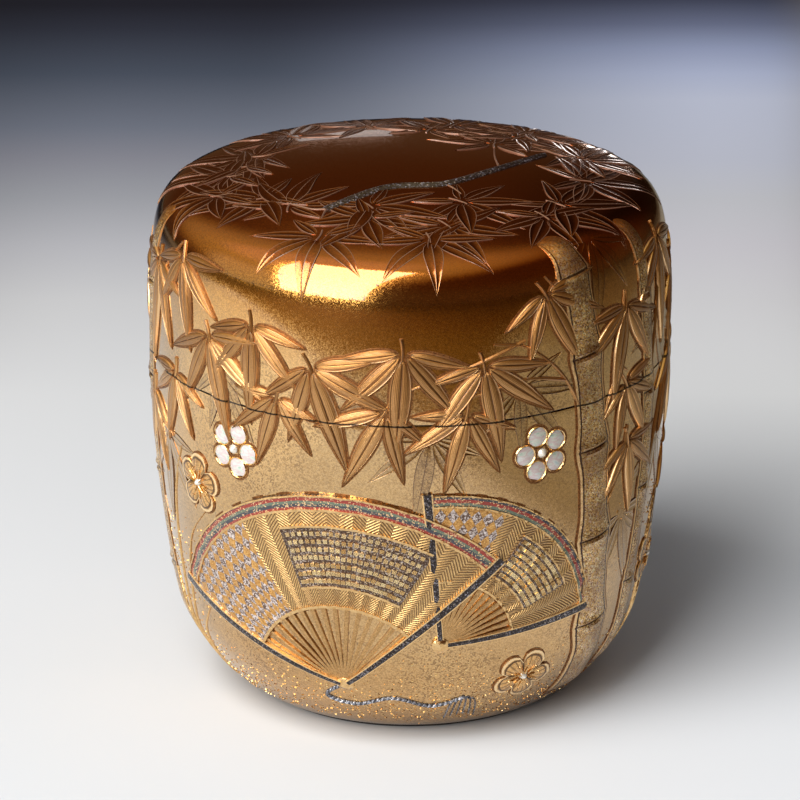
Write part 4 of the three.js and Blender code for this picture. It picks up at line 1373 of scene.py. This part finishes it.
spray_shares = [
    (-0.2, 0.63, 0.53, 1),
    (-0.165, 0.655, 0.47, 0.9),
    (-0.135, 0.57, 0.46, 1.05),
    (-0.215, 0.45, 0.55, 0.95),
    (-0.172, 0.5, 0.53, 0.8),
    (-0.1, 0.6, 0.49, 0.9),
    (-0.06, 0.56, 0.43, 1.0),
    (-0.082, 0.515, 0.53, 0.75),
    (-0.014, 0.51, 0.58, 0.8),
    (-0.004, 0.585, 0.5, 0.95),
    (0.044, 0.565, 0.47, 1),
    (0.034, 0.505, 0.53, 0.8),
    (0.084, 0.645, 0.42, 0.85),
    (0.15, 0.6, 0.52, 0.95),
    (0.155, 0.42, 0.46, 0.8),
    (0.15, 0.5, 0.42, 0.8),
    (0.2, 0.66, 0.5, 1),
    (0.228, 0.5, 0.45, 1),
    (0.24, 0.61, 0.44, 1),
    (0.27, 0.36, 0.52, 0.9),
    (0.32, 0.62, 0.5, 1),
    (0.3, 0.51, 0.53, 0.9),
    (0.37, 0.48, 0.56, 1),
    (0.4, 0.63, 0.45, 0.95),
    (0.44, 0.56, 0.46, 1.05),
    (0.48, 0.64, 0.52, 0.95),
    (-0.46, 0.53, 0.54, 0.95),
    (-0.42, 0.62, 0.46, 0.95),
    (-0.38, 0.5, 0.53, 0.9),
    (-0.35, 0.63, 0.5, 1),
    (-0.31, 0.5, 0.45, 1),
    (-0.27, 0.4, 0.55, 0.9),
    (-0.265, 0.6, 0.48, 1),
]
# Sprays in low relief behind the raised ones
low_spray_shares = [
    (-0.19, 0.41, 0.5, 0.95),
    (-0.125, 0.53, 0.42, 0.85),
    (0.012, 0.475, 0.52, 0.85),
    (0.066, 0.53, 0.38, 0.85),
    (0.128, 0.7, 0.52, 0.85),
    (0.192, 0.57, 0.45, 1),
    (0.2, 0.4, 0.55, 0.95),
    (0.155, 0.32, 0.46, 0.85),
    (0.26, 0.53, 0.54, 0.95),
    (0.235, 0.31, 0.47, 0.9),
    (0.33, 0.42, 0.55, 0.95),
    (0.405, 0.5, 0.52, 0.95),
    (0.395, 0.38, 0.45, 0.9),
    (0.45, 0.44, 0.55, 0.9),
    (-0.445, 0.42, 0.5, 0.95),
    (-0.405, 0.52, 0.55, 0.9),
    (-0.345, 0.45, 0.44, 0.95),
    (-0.3, 0.33, 0.53, 0.9),
    (-0.245, 0.52, 0.55, 0.95),
    (-0.25, 0.33, 0.46, 0.9),
]
shoulder_spray_shares = [
    (-0.205, 0.75, 0.55, 0.8),
    (-0.135, 0.8, 0.9, 0.75),
    (-0.045, 0.81, 0.55, 0.75),
    (0.035, 0.79, 0.45, 0.8),
    (0.16, 0.78, 0.5, 0.85),
    (0.235, 0.78, 0.47, 0.85),
    (0.31, 0.77, 0.53, 0.85),
    (0.385, 0.79, 0.46, 0.85),
    (0.46, 0.77, 0.52, 0.85),
    (-0.46, 0.78, 0.5, 0.85),
    (-0.385, 0.77, 0.54, 0.85),
    (-0.31, 0.79, 0.47, 0.85),
    (-0.25, 0.77, 0.52, 0.8),
]
# On top of the lid, right and back are shares of the crown's radius, and heading is clockwise from back
top_spray_shares = [
    (-0.2, -0.6, 0.42, 0.8),
    (0.26, -0.54, 0.36, 0.75),
    (0.68, -0.66, 0.4, 0.75),
    (0.1, -1.0, 0.48, 0.75),
    (-0.45, -0.94, 0.55, 0.75),
    (0.44, 0.44, 0.02, 0.72),
    (0.9, 0.3, 0.2, 0.7),
    (0.1, 0.74, 0.05, 0.7),
    (-0.74, -0.4, 0.72, 0.8),
    (-0.86, 0.14, 0.75, 0.72),
    (0.62, 0.8, 0.1, 0.7),
]

culm_shares = [
    (0.142, 0.055), (0.135, 0.18), (0.128, 0.305), (0.121, 0.43), (0.114, 0.555), (0.106, 0.66), (0.099, 0.73)
]
far_culm_shares = [(0.175, 0.08), (0.18, 0.21), (0.182, 0.34), (0.18, 0.47), (0.174, 0.6), (0.167, 0.72)]
left_culm_shares = [
    (-0.225, 0.07), (-0.23, 0.2), (-0.231, 0.33), (-0.227, 0.46), (-0.22, 0.59), (-0.21, 0.71)
]
back_culm_shares = [(0.365, 0.06), (0.36, 0.19), (0.352, 0.32), (0.346, 0.45), (0.342, 0.58), (0.34, 0.71)]
branch_shares = [
    [(0.121, 0.435), (0.098, 0.53), (0.072, 0.58), (0.05, 0.59)],
    [(0.07, 0.59), (0.03, 0.56), (-0.01, 0.53)],
    [(0.114, 0.56), (0.102, 0.62), (0.085, 0.665)],
    [(0.098, 0.53), (0.07, 0.54), (0.036, 0.525)],
    [(0.128, 0.31), (0.146, 0.38), (0.154, 0.44)],
    [(0.121, 0.435), (0.14, 0.52), (0.149, 0.62)],
    [(0.14, 0.52), (0.147, 0.52), (0.151, 0.515)],
    [(0.18, 0.475), (0.192, 0.58), (0.2, 0.68)],
    [(0.182, 0.345), (0.205, 0.45), (0.226, 0.52), (0.238, 0.63)],
    [(-0.227, 0.465), (-0.21, 0.57), (-0.17, 0.67)],
    [(-0.231, 0.335), (-0.222, 0.42), (-0.216, 0.47)],
    [(0.226, 0.52), (0.252, 0.45), (0.27, 0.385)],
    [(0.352, 0.325), (0.335, 0.43), (0.302, 0.53)],
    [(0.346, 0.455), (0.335, 0.56), (0.32, 0.64)],
    [(0.346, 0.455), (0.36, 0.51), (0.371, 0.505)],
    [(0.342, 0.585), (0.375, 0.66), (0.437, 0.63), (0.49, 0.66), (0.535, 0.62), (0.54, 0.55)],
    [(0.437, 0.63), (0.441, 0.61), (0.441, 0.58)],
    [(-0.231, 0.335), (-0.25, 0.43), (-0.305, 0.53), (-0.345, 0.64), (-0.38, 0.6), (-0.38, 0.52)],
    [(-0.25, 0.43), (-0.262, 0.44), (-0.27, 0.42)],
    [(-0.227, 0.465), (-0.24, 0.56), (-0.264, 0.63)],
    [(-0.345, 0.64), (-0.385, 0.665), (-0.42, 0.64)],
]
grass_shares = [
    [(-0.19, 0.04), (-0.185, 0.16), (-0.17, 0.27), (-0.145, 0.33)],
    [(-0.192, 0.04), (-0.195, 0.18), (-0.188, 0.31), (-0.17, 0.4)],
    [(-0.188, 0.04), (-0.175, 0.13), (-0.155, 0.19)],
    [(-0.195, 0.04), (-0.205, 0.13), (-0.215, 0.2)],
    [(0.205, 0.04), (0.212, 0.15), (0.235, 0.25), (0.265, 0.3)],
    [(0.21, 0.04), (0.205, 0.17), (0.215, 0.3), (0.24, 0.38)],
    [(0.215, 0.04), (0.235, 0.12), (0.27, 0.17)],
    [(0.395, 0.05), (0.39, 0.2), (0.4, 0.33), (0.42, 0.41)],
    [(0.4, 0.05), (0.41, 0.15), (0.43, 0.21)],
    [(0.39, 0.05), (0.38, 0.17), (0.372, 0.25)],
    [(-0.37, 0.04), (-0.375, 0.18), (-0.36, 0.31), (-0.33, 0.39)],
    [(-0.375, 0.04), (-0.395, 0.14), (-0.43, 0.2)],
]
twig_shares = [(-0.42, -0.62), (-0.12, -0.36), (0.18, -0.3), (0.46, -0.02), (0.7, 0.3)]
top_branch_shares = [
    [(-0.42, -0.62), (-0.5, -0.6), (-0.62, -0.5)],
    [(-0.42, -0.62), (-0.44, -0.72), (-0.45, -0.82)],
    [(-0.12, -0.36), (-0.16, -0.42), (-0.19, -0.5)],
    [(0.18, -0.3), (0.22, -0.36), (0.26, -0.44)],
    [(0.46, -0.02), (0.44, 0.18), (0.44, 0.35)],
]
# The cord runs from the front fan's pivot and ends in a tassel, each of whose strands goes out and
# falls by these shares
cord_shares = [(-0.045, 0.125), (-0.062, 0.095), (-0.04, 0.082), (-0.012, 0.1), (0.016, 0.082), (0.04, 0.098)]
tassel_shares = [
    (-0.012, 0.052), (-0.007, 0.047), (-0.002, 0.044), (0.003, 0.043), (0.008, 0.045), (0.013, 0.05)
]

fan_site_shares = (-0.045, 0.125, -0.03, 0.33)
far_fan_site_shares = (0.02, 0.19, 0.11, 0.25)
back_fan_site_shares = (0.47, 0.15, 0.02, 0.32)
blossom_shares = [
    (-0.15, 0.365, 0.02),
    (-0.275, 0.24, 0.11),
    (0.082, 0.125, 0.07),
    (0.215, 0.22, 0.03),
    (0.3, 0.24, 0.12),
    (-0.4, 0.27, 0.05),
    (-0.33, 0.19, 0.09),
]
shell_blossom_shares = [(-0.115, 0.43, 0.06), (0.082, 0.44, 0.15), (-0.49, 0.42, 0.1)]

SHELL_RADIUS = 1.25
SHELL_WEB = 0.3  # the gold between two shell petals
SHELL_PROUD = 0.1
PETAL_NOTCH = (0.14, 1, 0.06)  # depth, middle and width by the cosine of the way round
SHELL_OUTLINE_SHADOW = 0.45
INLAY_SUNK = 0.3
SHELL_RIM_GAP = 0.08
BEAD_RADIUS = 0.6
BEAD_RIM = 0.1
GOLD_BEAD_CREST = 0.65
SHELL_BEAD_CREST = 0.5
PETALS = 5

# Leaves and culms

leaf_finish = leaf_gold()
line_finish = drawn_leaf()
culm_finish = culm_powder()
twig_finish = twig_powder()
line_gold = bright_gold("raised_line_gold", rgb(0.62, 0.36, 0.13), rgb(0.9, 0.62, 0.3), 0.25)
# Dark pads round the motifs: painted shadow at the foot of their relief
outline_shadows = []
side_plan = leaf_plan(spray_shares)
relief("bamboo_leaves", [satin_leaves(side_plan)], leaf_finish)
outline_shadows.append(leaf_outline_shadows(side_plan))
shoulder_plan = leaf_plan(shoulder_spray_shares, broad_leaf_shares)
relief("low_leaves", [lined_leaves(leaf_plan(low_spray_shares), breadth=LEAF_WIDTH)], low_leaf())
relief("shoulder_leaves", [lined_leaves(shoulder_plan)], line_finish)
top_plan = leaf_plan(top_spray_shares, broad_leaf_shares)
relief("top_leaves", [lined_leaves(top_plan, top_chart)], line_finish)
# Each culm's nodes, its width, and the height of its rim and crest
culms = [
    (culm_shares, 6.2, 0.12, 0.62),
    (far_culm_shares, 3.8, 0.1, 0.4),
    (left_culm_shares, 4.2, 0.1, 0.45),
    (back_culm_shares, 5.4, 0.12, 0.55),
]
relief("bamboo_culms", [culm(*one) for one in culms], culm_finish)
outline_shadows += [culm_outline_shadow(nodes, width) for nodes, width, _, _ in culms]
branches = [stalk(stops, width=0.55, crest=0.24) for stops in branch_shares]
relief("bamboo_branches", branches + [petioles(spray_shares)], leaf_finish)
relief("twig", [stalk(twig_shares, width=1.7, crest=0.36, ribbon=top_ribbon)], twig_finish)
top_stalks = [stalk(stops, width=0.3, crest=0.08, ribbon=top_ribbon) for stops in top_branch_shares]
top_stalks.append(petioles(top_spray_shares, top_chart, width=0.24, crest=0.05))
top_stalks.append(petioles(shoulder_spray_shares, width=0.24, crest=0.05))
relief("top_stalks", top_stalks, drawn_leaf("drawn_stalks", is_stalk=True))
relief("grasses", [stalk(stops, width=0.34, crest=0.14, steps=14) for stops in grass_shares], line_gold)

# Fans


def tassel_strand(out, fall):
    """A strand that leaves the end of the cord sideways and then hangs."""
    around, up = cord_shares[-1]
    return [(around, up), (around + 0.7 * out, up - 0.2 * fall), (around + out, up - fall)]


fans = [
    Fan(fan_site_shares, reach=27, ribs=11.5, ridge=0.5, folds=14),
    Fan(far_fan_site_shares, reach=21, ribs=9, ridge=0.34, folds=12),
    Fan(back_fan_site_shares, reach=21, ribs=9, ridge=0.34, folds=12),
]
hatch, checker, band, ribs, lines, grounds, squares, guards = [], [], [], [], [], [], [], []
for fan in fans:
    whole = 2 * fan.folds
    third = whole // 3
    start, end = third + 3, whole - 4
    hatch.append(fan.field(third, whole, 0, PATTERN_END_SHARE, 0, rows=14))
    checker.append(fan.field(0, third, 0, PATTERN_END_SHARE, 0, rows=14))
    band.append(fan.field(0, whole, BAND_START_SHARE, 1, 0, rows=4))
    grounds.append(fan.field(start, end, WINDOW_LOW_SHARE, WINDOW_HIGH_SHARE, GROUND_PROUD, rows=8))
    squares.append(fan.squares(
        start + SQUARE_MARGIN,
        end - SQUARE_MARGIN,
        WINDOW_LOW_SHARE + SQUARE_MARGIN_SHARE,
        WINDOW_HIGH_SHARE - SQUARE_MARGIN_SHARE,
        across_count=2 * (end - start - 1),
        out_count=SQUARE_ROWS,
        size=SQUARE_SIZE,
        proud=SQUARE_PROUD,
    ))
    beyond = -OUTLINE_SHADOW_SHARE, 1 + OUTLINE_SHADOW_SHARE
    outline_shadows.append(fan.field(0, whole, *beyond, OUTLINE_SHADOW_LIFT - fan.ridge, rows=3))
    for low, high in ((0, HEEL_LINE_SHARE), (PATTERN_END_SHARE, BAND_START_SHARE), (RIM_START_SHARE, 1)):
        lines.append(fan.field(0, whole, low, high, LINE_PROUD, rows=2))
    for low in (WINDOW_LOW_SHARE - WINDOW_LINE_SHARE, WINDOW_HIGH_SHARE):
        lines.append(fan.field(start, end, low, low + WINDOW_LINE_SHARE, LINE_PROUD, rows=2))
    ribs.append(fan.bars(fan.folds + 1, start=0.6, end=fan.ribs + 1.3, width=0.62, lift=0.22, spread=0.93))
    guards.append(fan.bars(2, start=0.6, end=fan.reach + 0.3, width=1.35, lift=fan.ridge + 0.06))
    lines.append(disc(fan.place, 0, 0, round_outline(PIVOT_RADIUS), domed(rim=0.3, crest=0.4)))
relief("fan_hatch", hatch, fan_hatch())
relief("fan_checker", checker, fan_checker())
relief("fan_band", band, fan_band())
relief("fan_ground", grounds, fan_dark())
relief("fan_squares", squares, cut_gold())
relief("fan_guards", guards, fan_guard())
rib_gold = bright_gold("fan_rib_gold", rgb(0.34, 0.18, 0.06), rgb(0.68, 0.42, 0.18), 0.36, size=0.12)
relief("fan_ribs", ribs, rib_gold)
relief("fan_lines", lines, line_gold)
cord = [stalk(cord_shares, width=0.62, crest=0.3)]
cord += [stalk(tassel_strand(*one), width=0.3, crest=0.2) for one in tassel_shares]
relief("fan_cord", cord, cord_twist())

# Blossoms


def petal_outline(angle):
    """A round shell petal with a narrow notch in its outer end."""
    return SHELL_RADIUS * (1 - ridge(np.cos(angle), *PETAL_NOTCH))


relief("blossoms", [gold_blossom(site) for site in blossom_shares], petal_gold())
fine_lines = [stamens(site) for site in blossom_shares]
for site in blossom_shares:
    place = side_chart(*site)
    fine_lines += dots(place, ring_radius=2.05, count=10, size=0.16, crest=0.62, turned_by=0.048)
    outline_shadows.append(disc(place, 0, 0, blossom_outline(BLOSSOM_RADIUS + OUTLINE_SHADOW, 0.6), flat_pad))
relief("blossom_stamens", fine_lines, line_gold)

shell_finish = nacre()
pearl_finish = pearl()
shell_dome = domed(SHELL_PROUD, 0.14, math.pi / 2)
reach = (SHELL_RADIUS + SHELL_WEB / 2) / math.sin(math.pi / PETALS)
rims = []
for number, site in enumerate(shell_blossom_shares, start=1):
    place = side_chart(*site)
    for petal in range(PETALS):
        angle = petal / PETALS * TURN
        middle = reach * math.cos(angle), reach * math.sin(angle)
        inlay = disc(place, *middle, petal_outline, shell_dome, turned_by=petal / PETALS, sunk=INLAY_SUNK)
        mesh = relief_mesh(f"nacre_petal_{number}_{petal + 1}", [inlay])
        show(mesh.name, mesh, shell_finish, "body", (f"shell_petal_{number}_{petal + 1}",))
        outline_shadows.append(disc(place, *middle, round_outline(SHELL_RADIUS + SHELL_OUTLINE_SHADOW), flat_pad))
        rims.append(circle(place, *middle, SHELL_RADIUS + SHELL_RIM_GAP, width=0.26, lift=0.2))
relief("shell_rims", rims, line_gold)
for number, site in enumerate(blossom_shares + shell_blossom_shares, start=1):
    crest = GOLD_BEAD_CREST if site in blossom_shares else SHELL_BEAD_CREST
    bead = disc(side_chart(*site), 0, 0, round_outline(BEAD_RADIUS), domed(BEAD_RIM, crest), sunk=INLAY_SUNK)
    mesh = relief_mesh(f"pearl_bead_{number}", [bead])
    show(mesh.name, mesh, pearl_finish, "body", (f"bead_{number}",))
relief("outline_shadows", outline_shadows, painted_outline_shadow())

# Gold flakes, scattered in the band round the heel and in drifts of mist

FLAKES = 3600
FLAKE_LIFT = 0.05
FLAKE_TILT = 0.25
LEAST_FLAKE = 0.1
FLAKE_RANGE = 0.2
FLAKES_LOW_SHARE = 0.035  # where the band of flakes begins, as a share of the way up the outline
FLAKES_REACH_SHARE = 0.15
# The middles of the drifts, and how far they spread, as shares around and up
DRIFT_SHARES = np.array([(0.19, 0.29), (-0.16, 0.23), (0.06, 0.1), (-0.42, 0.25), (0.44, 0.3), (-0.3, 0.12)])
SPREAD_SHARES = (0.045, 0.028)


def flakes(around, up, size):
    """Small tilted plates of cut gold leaf, square with a random turn."""
    count = len(around)
    turn = per_pad(dice.uniform(0, TURN, count))
    row = per_row([-0.5, 0.5]) * per_pad(size)
    column = per_column([-0.5, 0.5]) * per_pad(size)
    places = side_chart(per_pad(around), per_pad(up), 0)(*swung(row, column, turn))
    first_tilt = per_pad(dice.uniform(-FLAKE_TILT, FLAKE_TILT, count))
    second_tilt = per_pad(dice.uniform(-FLAKE_TILT, FLAKE_TILT, count))
    return pads(places, FLAKE_LIFT + (first_tilt * row + second_tilt * column), (0, 0, 0))


low_up = FLAKES_LOW_SHARE + FLAKES_REACH_SHARE * dice.beta(1.3, 2.6, FLAKES)
low_around = dice.uniform(-0.5, 0.5, FLAKES)
which = dice.integers(0, len(DRIFT_SHARES), FLAKES // 2)
mist_around = DRIFT_SHARES[which, 0] + SPREAD_SHARES[0] * dice.normal(0, 1, len(which))
mist_up = DRIFT_SHARES[which, 1] + SPREAD_SHARES[1] * dice.normal(0, 1, len(which))
flake_finish = bright_gold("gold_flakes", rgb(0.7, 0.38, 0.1), rgb(1.0, 0.78, 0.4), 0.22, size=0.5, tilt=0.4)
flake_around = np.concatenate([low_around, mist_around])
flake_up = np.concatenate([low_up, mist_up])
flake_size = LEAST_FLAKE + FLAKE_RANGE * dice.beta(1, 3, len(flake_up))
relief("gold_flakes", [flakes(flake_around, flake_up, flake_size)], flake_finish)

# The stage, in metres

CAMERA_ELEVATION = math.radians(20.46)
CAMERA_DISTANCE = 0.6
LOOK_HEIGHT = 0.035
FLOOR_SIZE = 6.0
SWEEP_DEPTH = 0.34  # how far behind the caddy the paper is darkest
MARGIN_SHADE = 0.35
CONTACT_SHADE = 0.2
LIT_SHARE = 0.8
LIT_PAPER = rgb(1.0, 0.99, 0.93)
# The line that the dusk lies round: its place at the caddy, how far it leans to the right for each
# metre behind and where it ends in front. To its left, ways count by a share only
MIDDLE_PLACE = -0.06
MIDDLE_LEAN = 0.05
MIDDLE_FRONT = -0.035
LEFTWARD_SHARE = 0.35
# Places on the floor between which its colours change
DUSK_EDGE = (0.112, 0.142)
DUSK_BAND = (0.13, 0.43)
RIGHT_DUSK_BAND = (-0.13, -0.06)
RIGHTWARD_BAND = (-0.032, 0.073)
MARGIN_BAND = (0.05, 0.1)
MARGIN_DEPTH_BAND = (0.08, 0.16)
FAR_LEFT_BAND = (-0.32, -0.2)
CONTACT_BAND = (0.0215, 0.0275)
LIT_BAND = (-0.11, -0.065)
LIT_DEPTH_BAND = (0.02, 0.1)
# Parts of a ray's unit way between which the world changes
LOW_BAND = (0.12, 0.35)
NOTCH_RIGHT_BAND = (0.02, 0.2)
NOTCH_BACK_BAND = (0.5, 0.9)
WALL_LEFT_BAND = (0.7, 0.95)
WALL_TOP_BAND = (0.25, 0.55)
WALL_BACK_BAND = (0.0, 0.3)
GLOW_WAY = (-0.45, -0.05, 0.89)  # towards the world's brightest place, above on the left
GREY_ROOM = rgb(0.13, 0.13, 0.135)
# The paper's colours by the share of its depth, on the left and on the right
LEFT_PAPER = [
    (0.0, rgb(0.73, 0.755, 0.775)),
    (0.08, rgb(0.768, 0.785, 0.8)),
    (0.3, rgb(0.78, 0.785, 0.787)),
    (0.43, rgb(0.707, 0.706, 0.713)),
    (0.51, rgb(0.58, 0.58, 0.611)),
    (0.585, rgb(0.422, 0.43, 0.466)),
    (0.655, rgb(0.302, 0.306, 0.356)),
    (0.71, rgb(0.2, 0.221, 0.278)),
    (0.81, rgb(0.085, 0.103, 0.145)),
    (0.9, rgb(0.034, 0.039, 0.062)),
    (0.95, rgb(0.0155, 0.0167, 0.0298)),
]
RIGHT_PAPER = [
    (0.0, rgb(0.82, 0.835, 0.855)),
    (0.08, rgb(0.81, 0.84, 0.87)),
    (0.3, rgb(0.965, 0.97, 0.965)),
    (0.43, rgb(0.84, 0.83, 0.845)),
    (0.51, rgb(0.785, 0.765, 0.81)),
    (0.585, rgb(0.735, 0.74, 0.785)),
    (0.65, rgb(0.715, 0.74, 0.855)),
    (0.76, rgb(0.755, 0.8, 0.97)),
    (0.81, rgb(0.645, 0.71, 0.94)),
    (0.86, rgb(0.45, 0.51, 0.735)),
    (0.91, rgb(0.215, 0.246, 0.38)),
    (0.96, rgb(0.079, 0.09, 0.151)),
]
# The dusk's colours by the share of the way into it, in front and on the right
FRONT_DUSK = [
    (0.0, rgb(0.36, 0.27, 0.18)),
    (0.1, rgb(0.23, 0.135, 0.04)),
    (0.167, rgb(0.18, 0.097, 0.017)),
    (0.4, rgb(0.135, 0.073, 0.01)),
    (0.533, rgb(0.105, 0.046, 0.007)),
    (1.0, rgb(0.1, 0.045, 0.006)),
]
RIGHT_DUSK = [
    (0.0, rgb(0.3, 0.26, 0.19)),
    (0.1, rgb(0.42, 0.39, 0.31)),
    (0.233, rgb(0.46, 0.44, 0.36)),
    (0.367, rgb(0.38, 0.36, 0.27)),
    (0.5, rgb(0.24, 0.18, 0.1)),
    (1.0, rgb(0.2, 0.15, 0.085)),
]
# The world's glow by how nearly a way is GLOW_WAY: 1 is right along it and 0 square to it
GLOW = [
    (0.37, BLACK),
    (0.45, rgb(0.06, 0.025, 0.005)),
    (0.55, rgb(0.25, 0.165, 0.04)),
    (0.65, rgb(0.42, 0.33, 0.11)),
    (0.82, rgb(0.6, 0.53, 0.2)),
    (0.94, rgb(1.0, 0.86, 0.5)),
]


def sweep_paper(finish, place):
    """The paper about the caddy, which grades to dark blue-grey behind. It is shaded at the back's
    margins, on the far left and under the caddy, and lit on the left in front."""
    depth = finish.span(place["Y"], 0.0, SWEEP_DEPTH)
    to_right = finish.step(place["X"], *RIGHTWARD_BAND)
    paper = finish.mix(to_right, finish.ramp(depth, LEFT_PAPER), finish.ramp(depth, RIGHT_PAPER))
    margin = finish.step(finish.sum("ABSOLUTE", place["X"]), *MARGIN_BAND)
    margin = finish.times(margin, finish.step(place["Y"], *MARGIN_DEPTH_BAND))
    far_left = finish.rest(finish.step(place["X"], *FAR_LEFT_BAND))
    margin = finish.times(finish.either(margin, far_left), MARGIN_SHADE)
    from_axis = finish.vector("LENGTH", finish.place)["Value"]
    contact = finish.times(finish.rest(finish.step(from_axis, *CONTACT_BAND)), CONTACT_SHADE)
    paper = finish.mix(finish.either(margin, contact), paper, BLACK)
    is_left = finish.rest(finish.step(place["X"], *LIT_BAND))
    is_near = finish.sum("SUBTRACT", LIT_SHARE, finish.step(place["Y"], *LIT_DEPTH_BAND))
    return finish.mix(finish.either(finish.times(is_left, is_near), 0.0), paper, LIT_PAPER)


def way_from_paper(finish, place):
    """How far a place is from the paper's middle line: the length of its ways aside and ahead."""
    lean = finish.scaled(finish.either(place["Y"], 0.0), -MIDDLE_LEAN, place["X"])
    aside = finish.sum("ADD", lean, -MIDDLE_PLACE)
    aside = finish.either(aside, finish.times(aside, -LEFTWARD_SHARE))
    ahead = finish.either(finish.sum("SUBTRACT", MIDDLE_FRONT, place["Y"]), 0.0)
    away = finish.add("CombineXYZ", {"X": aside, "Y": ahead, "Z": 0.0}).outputs[0]
    return finish.vector("LENGTH", away)["Value"]


def floor():
    """A pale paper sweep, which ends dark in front and, greyer, on the right."""
    mesh = bpy.data.meshes.new("studio_floor")
    side = FLOOR_SIZE / 2
    corners = [(-side, -side, 0), (side, -side, 0), (side, side, 0), (-side, side, 0)]
    mesh.from_pydata(corners, [], [(0, 1, 2, 3)])
    finish = Finish("graded_paper", specular_ior_level=0.1)
    place = finish.parts(finish.place)
    away = way_from_paper(finish, place)
    beyond = finish.span(away, *DUSK_BAND)
    is_right = finish.step(finish.scaled(place["X"], 0.5, place["Y"]), *RIGHT_DUSK_BAND)
    dusk = finish.mix(is_right, finish.ramp(beyond, FRONT_DUSK), finish.ramp(beyond, RIGHT_DUSK))
    colour = finish.mix(finish.step(away, *DUSK_EDGE), sweep_paper(finish, place), dusk)
    mesh.materials.append(finish.done(base_color=colour, roughness=0.9))
    piece = bpy.data.objects.new("studio_floor", mesh)
    bpy.context.scene.collection.objects.link(piece)
    piece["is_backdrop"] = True


def softbox(name, azimuth, elevation, distance, width, height, watts):
    """A rectangular lamp at an azimuth from the front to the right, facing the caddy."""
    turn, tilt = math.radians(azimuth), math.radians(elevation)
    lamp = bpy.data.lights.new(name, "AREA")
    lamp.shape = "RECTANGLE"
    lamp.size = width
    lamp.size_y = height
    lamp.energy = watts
    piece = bpy.data.objects.new(name, lamp)
    away = Vector((math.cos(tilt) * math.sin(turn), -math.cos(tilt) * math.cos(turn), math.sin(tilt)))
    piece.location = Vector((0, 0, LOOK_HEIGHT)) + away * distance
    piece.rotation_euler = away.to_track_quat("Z", "Y").to_euler()
    bpy.context.scene.collection.objects.link(piece)


class Room(Finish):
    """The same wiring for the world, whose place is the way that a ray looks."""

    def __init__(self, world):
        world.use_nodes = True
        self.tree = world.node_tree
        self.surface = self.tree.nodes["Background"]
        self.place = self.add("TexCoord").outputs["Generated"]


def studio_world():
    """An even grey room that fills the shadows. Gloss and metal see a warm dark one, which glows above
    the softbox and on a low left wall, is a little greyer low down and is darkest behind on the right."""
    world = bpy.data.worlds.new("studio")
    room = Room(world)
    way = room.parts(room.place)
    base = room.mix(room.step(way["Z"], *LOW_BAND), rgb(0.088, 0.04, 0.016), rgb(0.08, 0.026, 0.006))
    notch = room.times(room.step(way["X"], *NOTCH_RIGHT_BAND), room.step(way["Y"], *NOTCH_BACK_BAND))
    base = room.mix(room.times(notch, 0.85), base, BLACK)
    glow = room.ramp(room.vector("DOT_PRODUCT", room.place, GLOW_WAY)["Value"], GLOW)
    wall = room.times(room.step(room.times(way["X"], -1.0), *WALL_LEFT_BAND), 0.6)
    wall = room.times(wall, room.rest(room.step(way["Z"], *WALL_TOP_BAND)))
    wall = room.times(wall, room.rest(room.step(way["Y"], *WALL_BACK_BAND)))
    glow = room.mix(wall, glow, rgb(1.0, 0.95, 0.7))
    warm = room.add("Mix", {0: 1.0, 6: base, 7: glow}, data_type="RGBA", blend_type="ADD").outputs[2]
    is_gloss = room.add("LightPath").outputs["Is Glossy Ray"]
    room.wire(room.surface, {"Color": room.mix(is_gloss, GREY_ROOM, warm)})
    bpy.context.scene.world = world


def camera():
    """A long lens from the front, above the caddy's middle."""
    lens = bpy.data.cameras.new("camera")
    lens.lens = 209.6
    lens.sensor_width = 36.0
    lens.shift_x = -0.01225
    lens.shift_y = 0.0164
    lens.clip_start = 0.01
    piece = bpy.data.objects.new("camera", lens)
    back = CAMERA_DISTANCE * math.cos(CAMERA_ELEVATION)
    piece.location = (0, -back, LOOK_HEIGHT + CAMERA_DISTANCE * math.sin(CAMERA_ELEVATION))
    piece.rotation_euler = (math.pi / 2 - CAMERA_ELEVATION, 0, 0)
    bpy.context.scene.collection.objects.link(piece)
    bpy.context.scene.camera = piece


floor()
camera()
softbox("front_softbox", -38, 36, distance=0.75, width=0.6, height=0.96, watts=11.6)
softbox("back_strip", -177.4, 7.4, distance=0.8, width=0.052, height=0.044, watts=0.0045)
softbox("rim_strip", 171.2, 4.5, distance=0.8, width=0.05, height=0.06, watts=0.045)
studio_world()
bpy.context.scene.view_settings.view_transform = "Standard"

low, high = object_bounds()
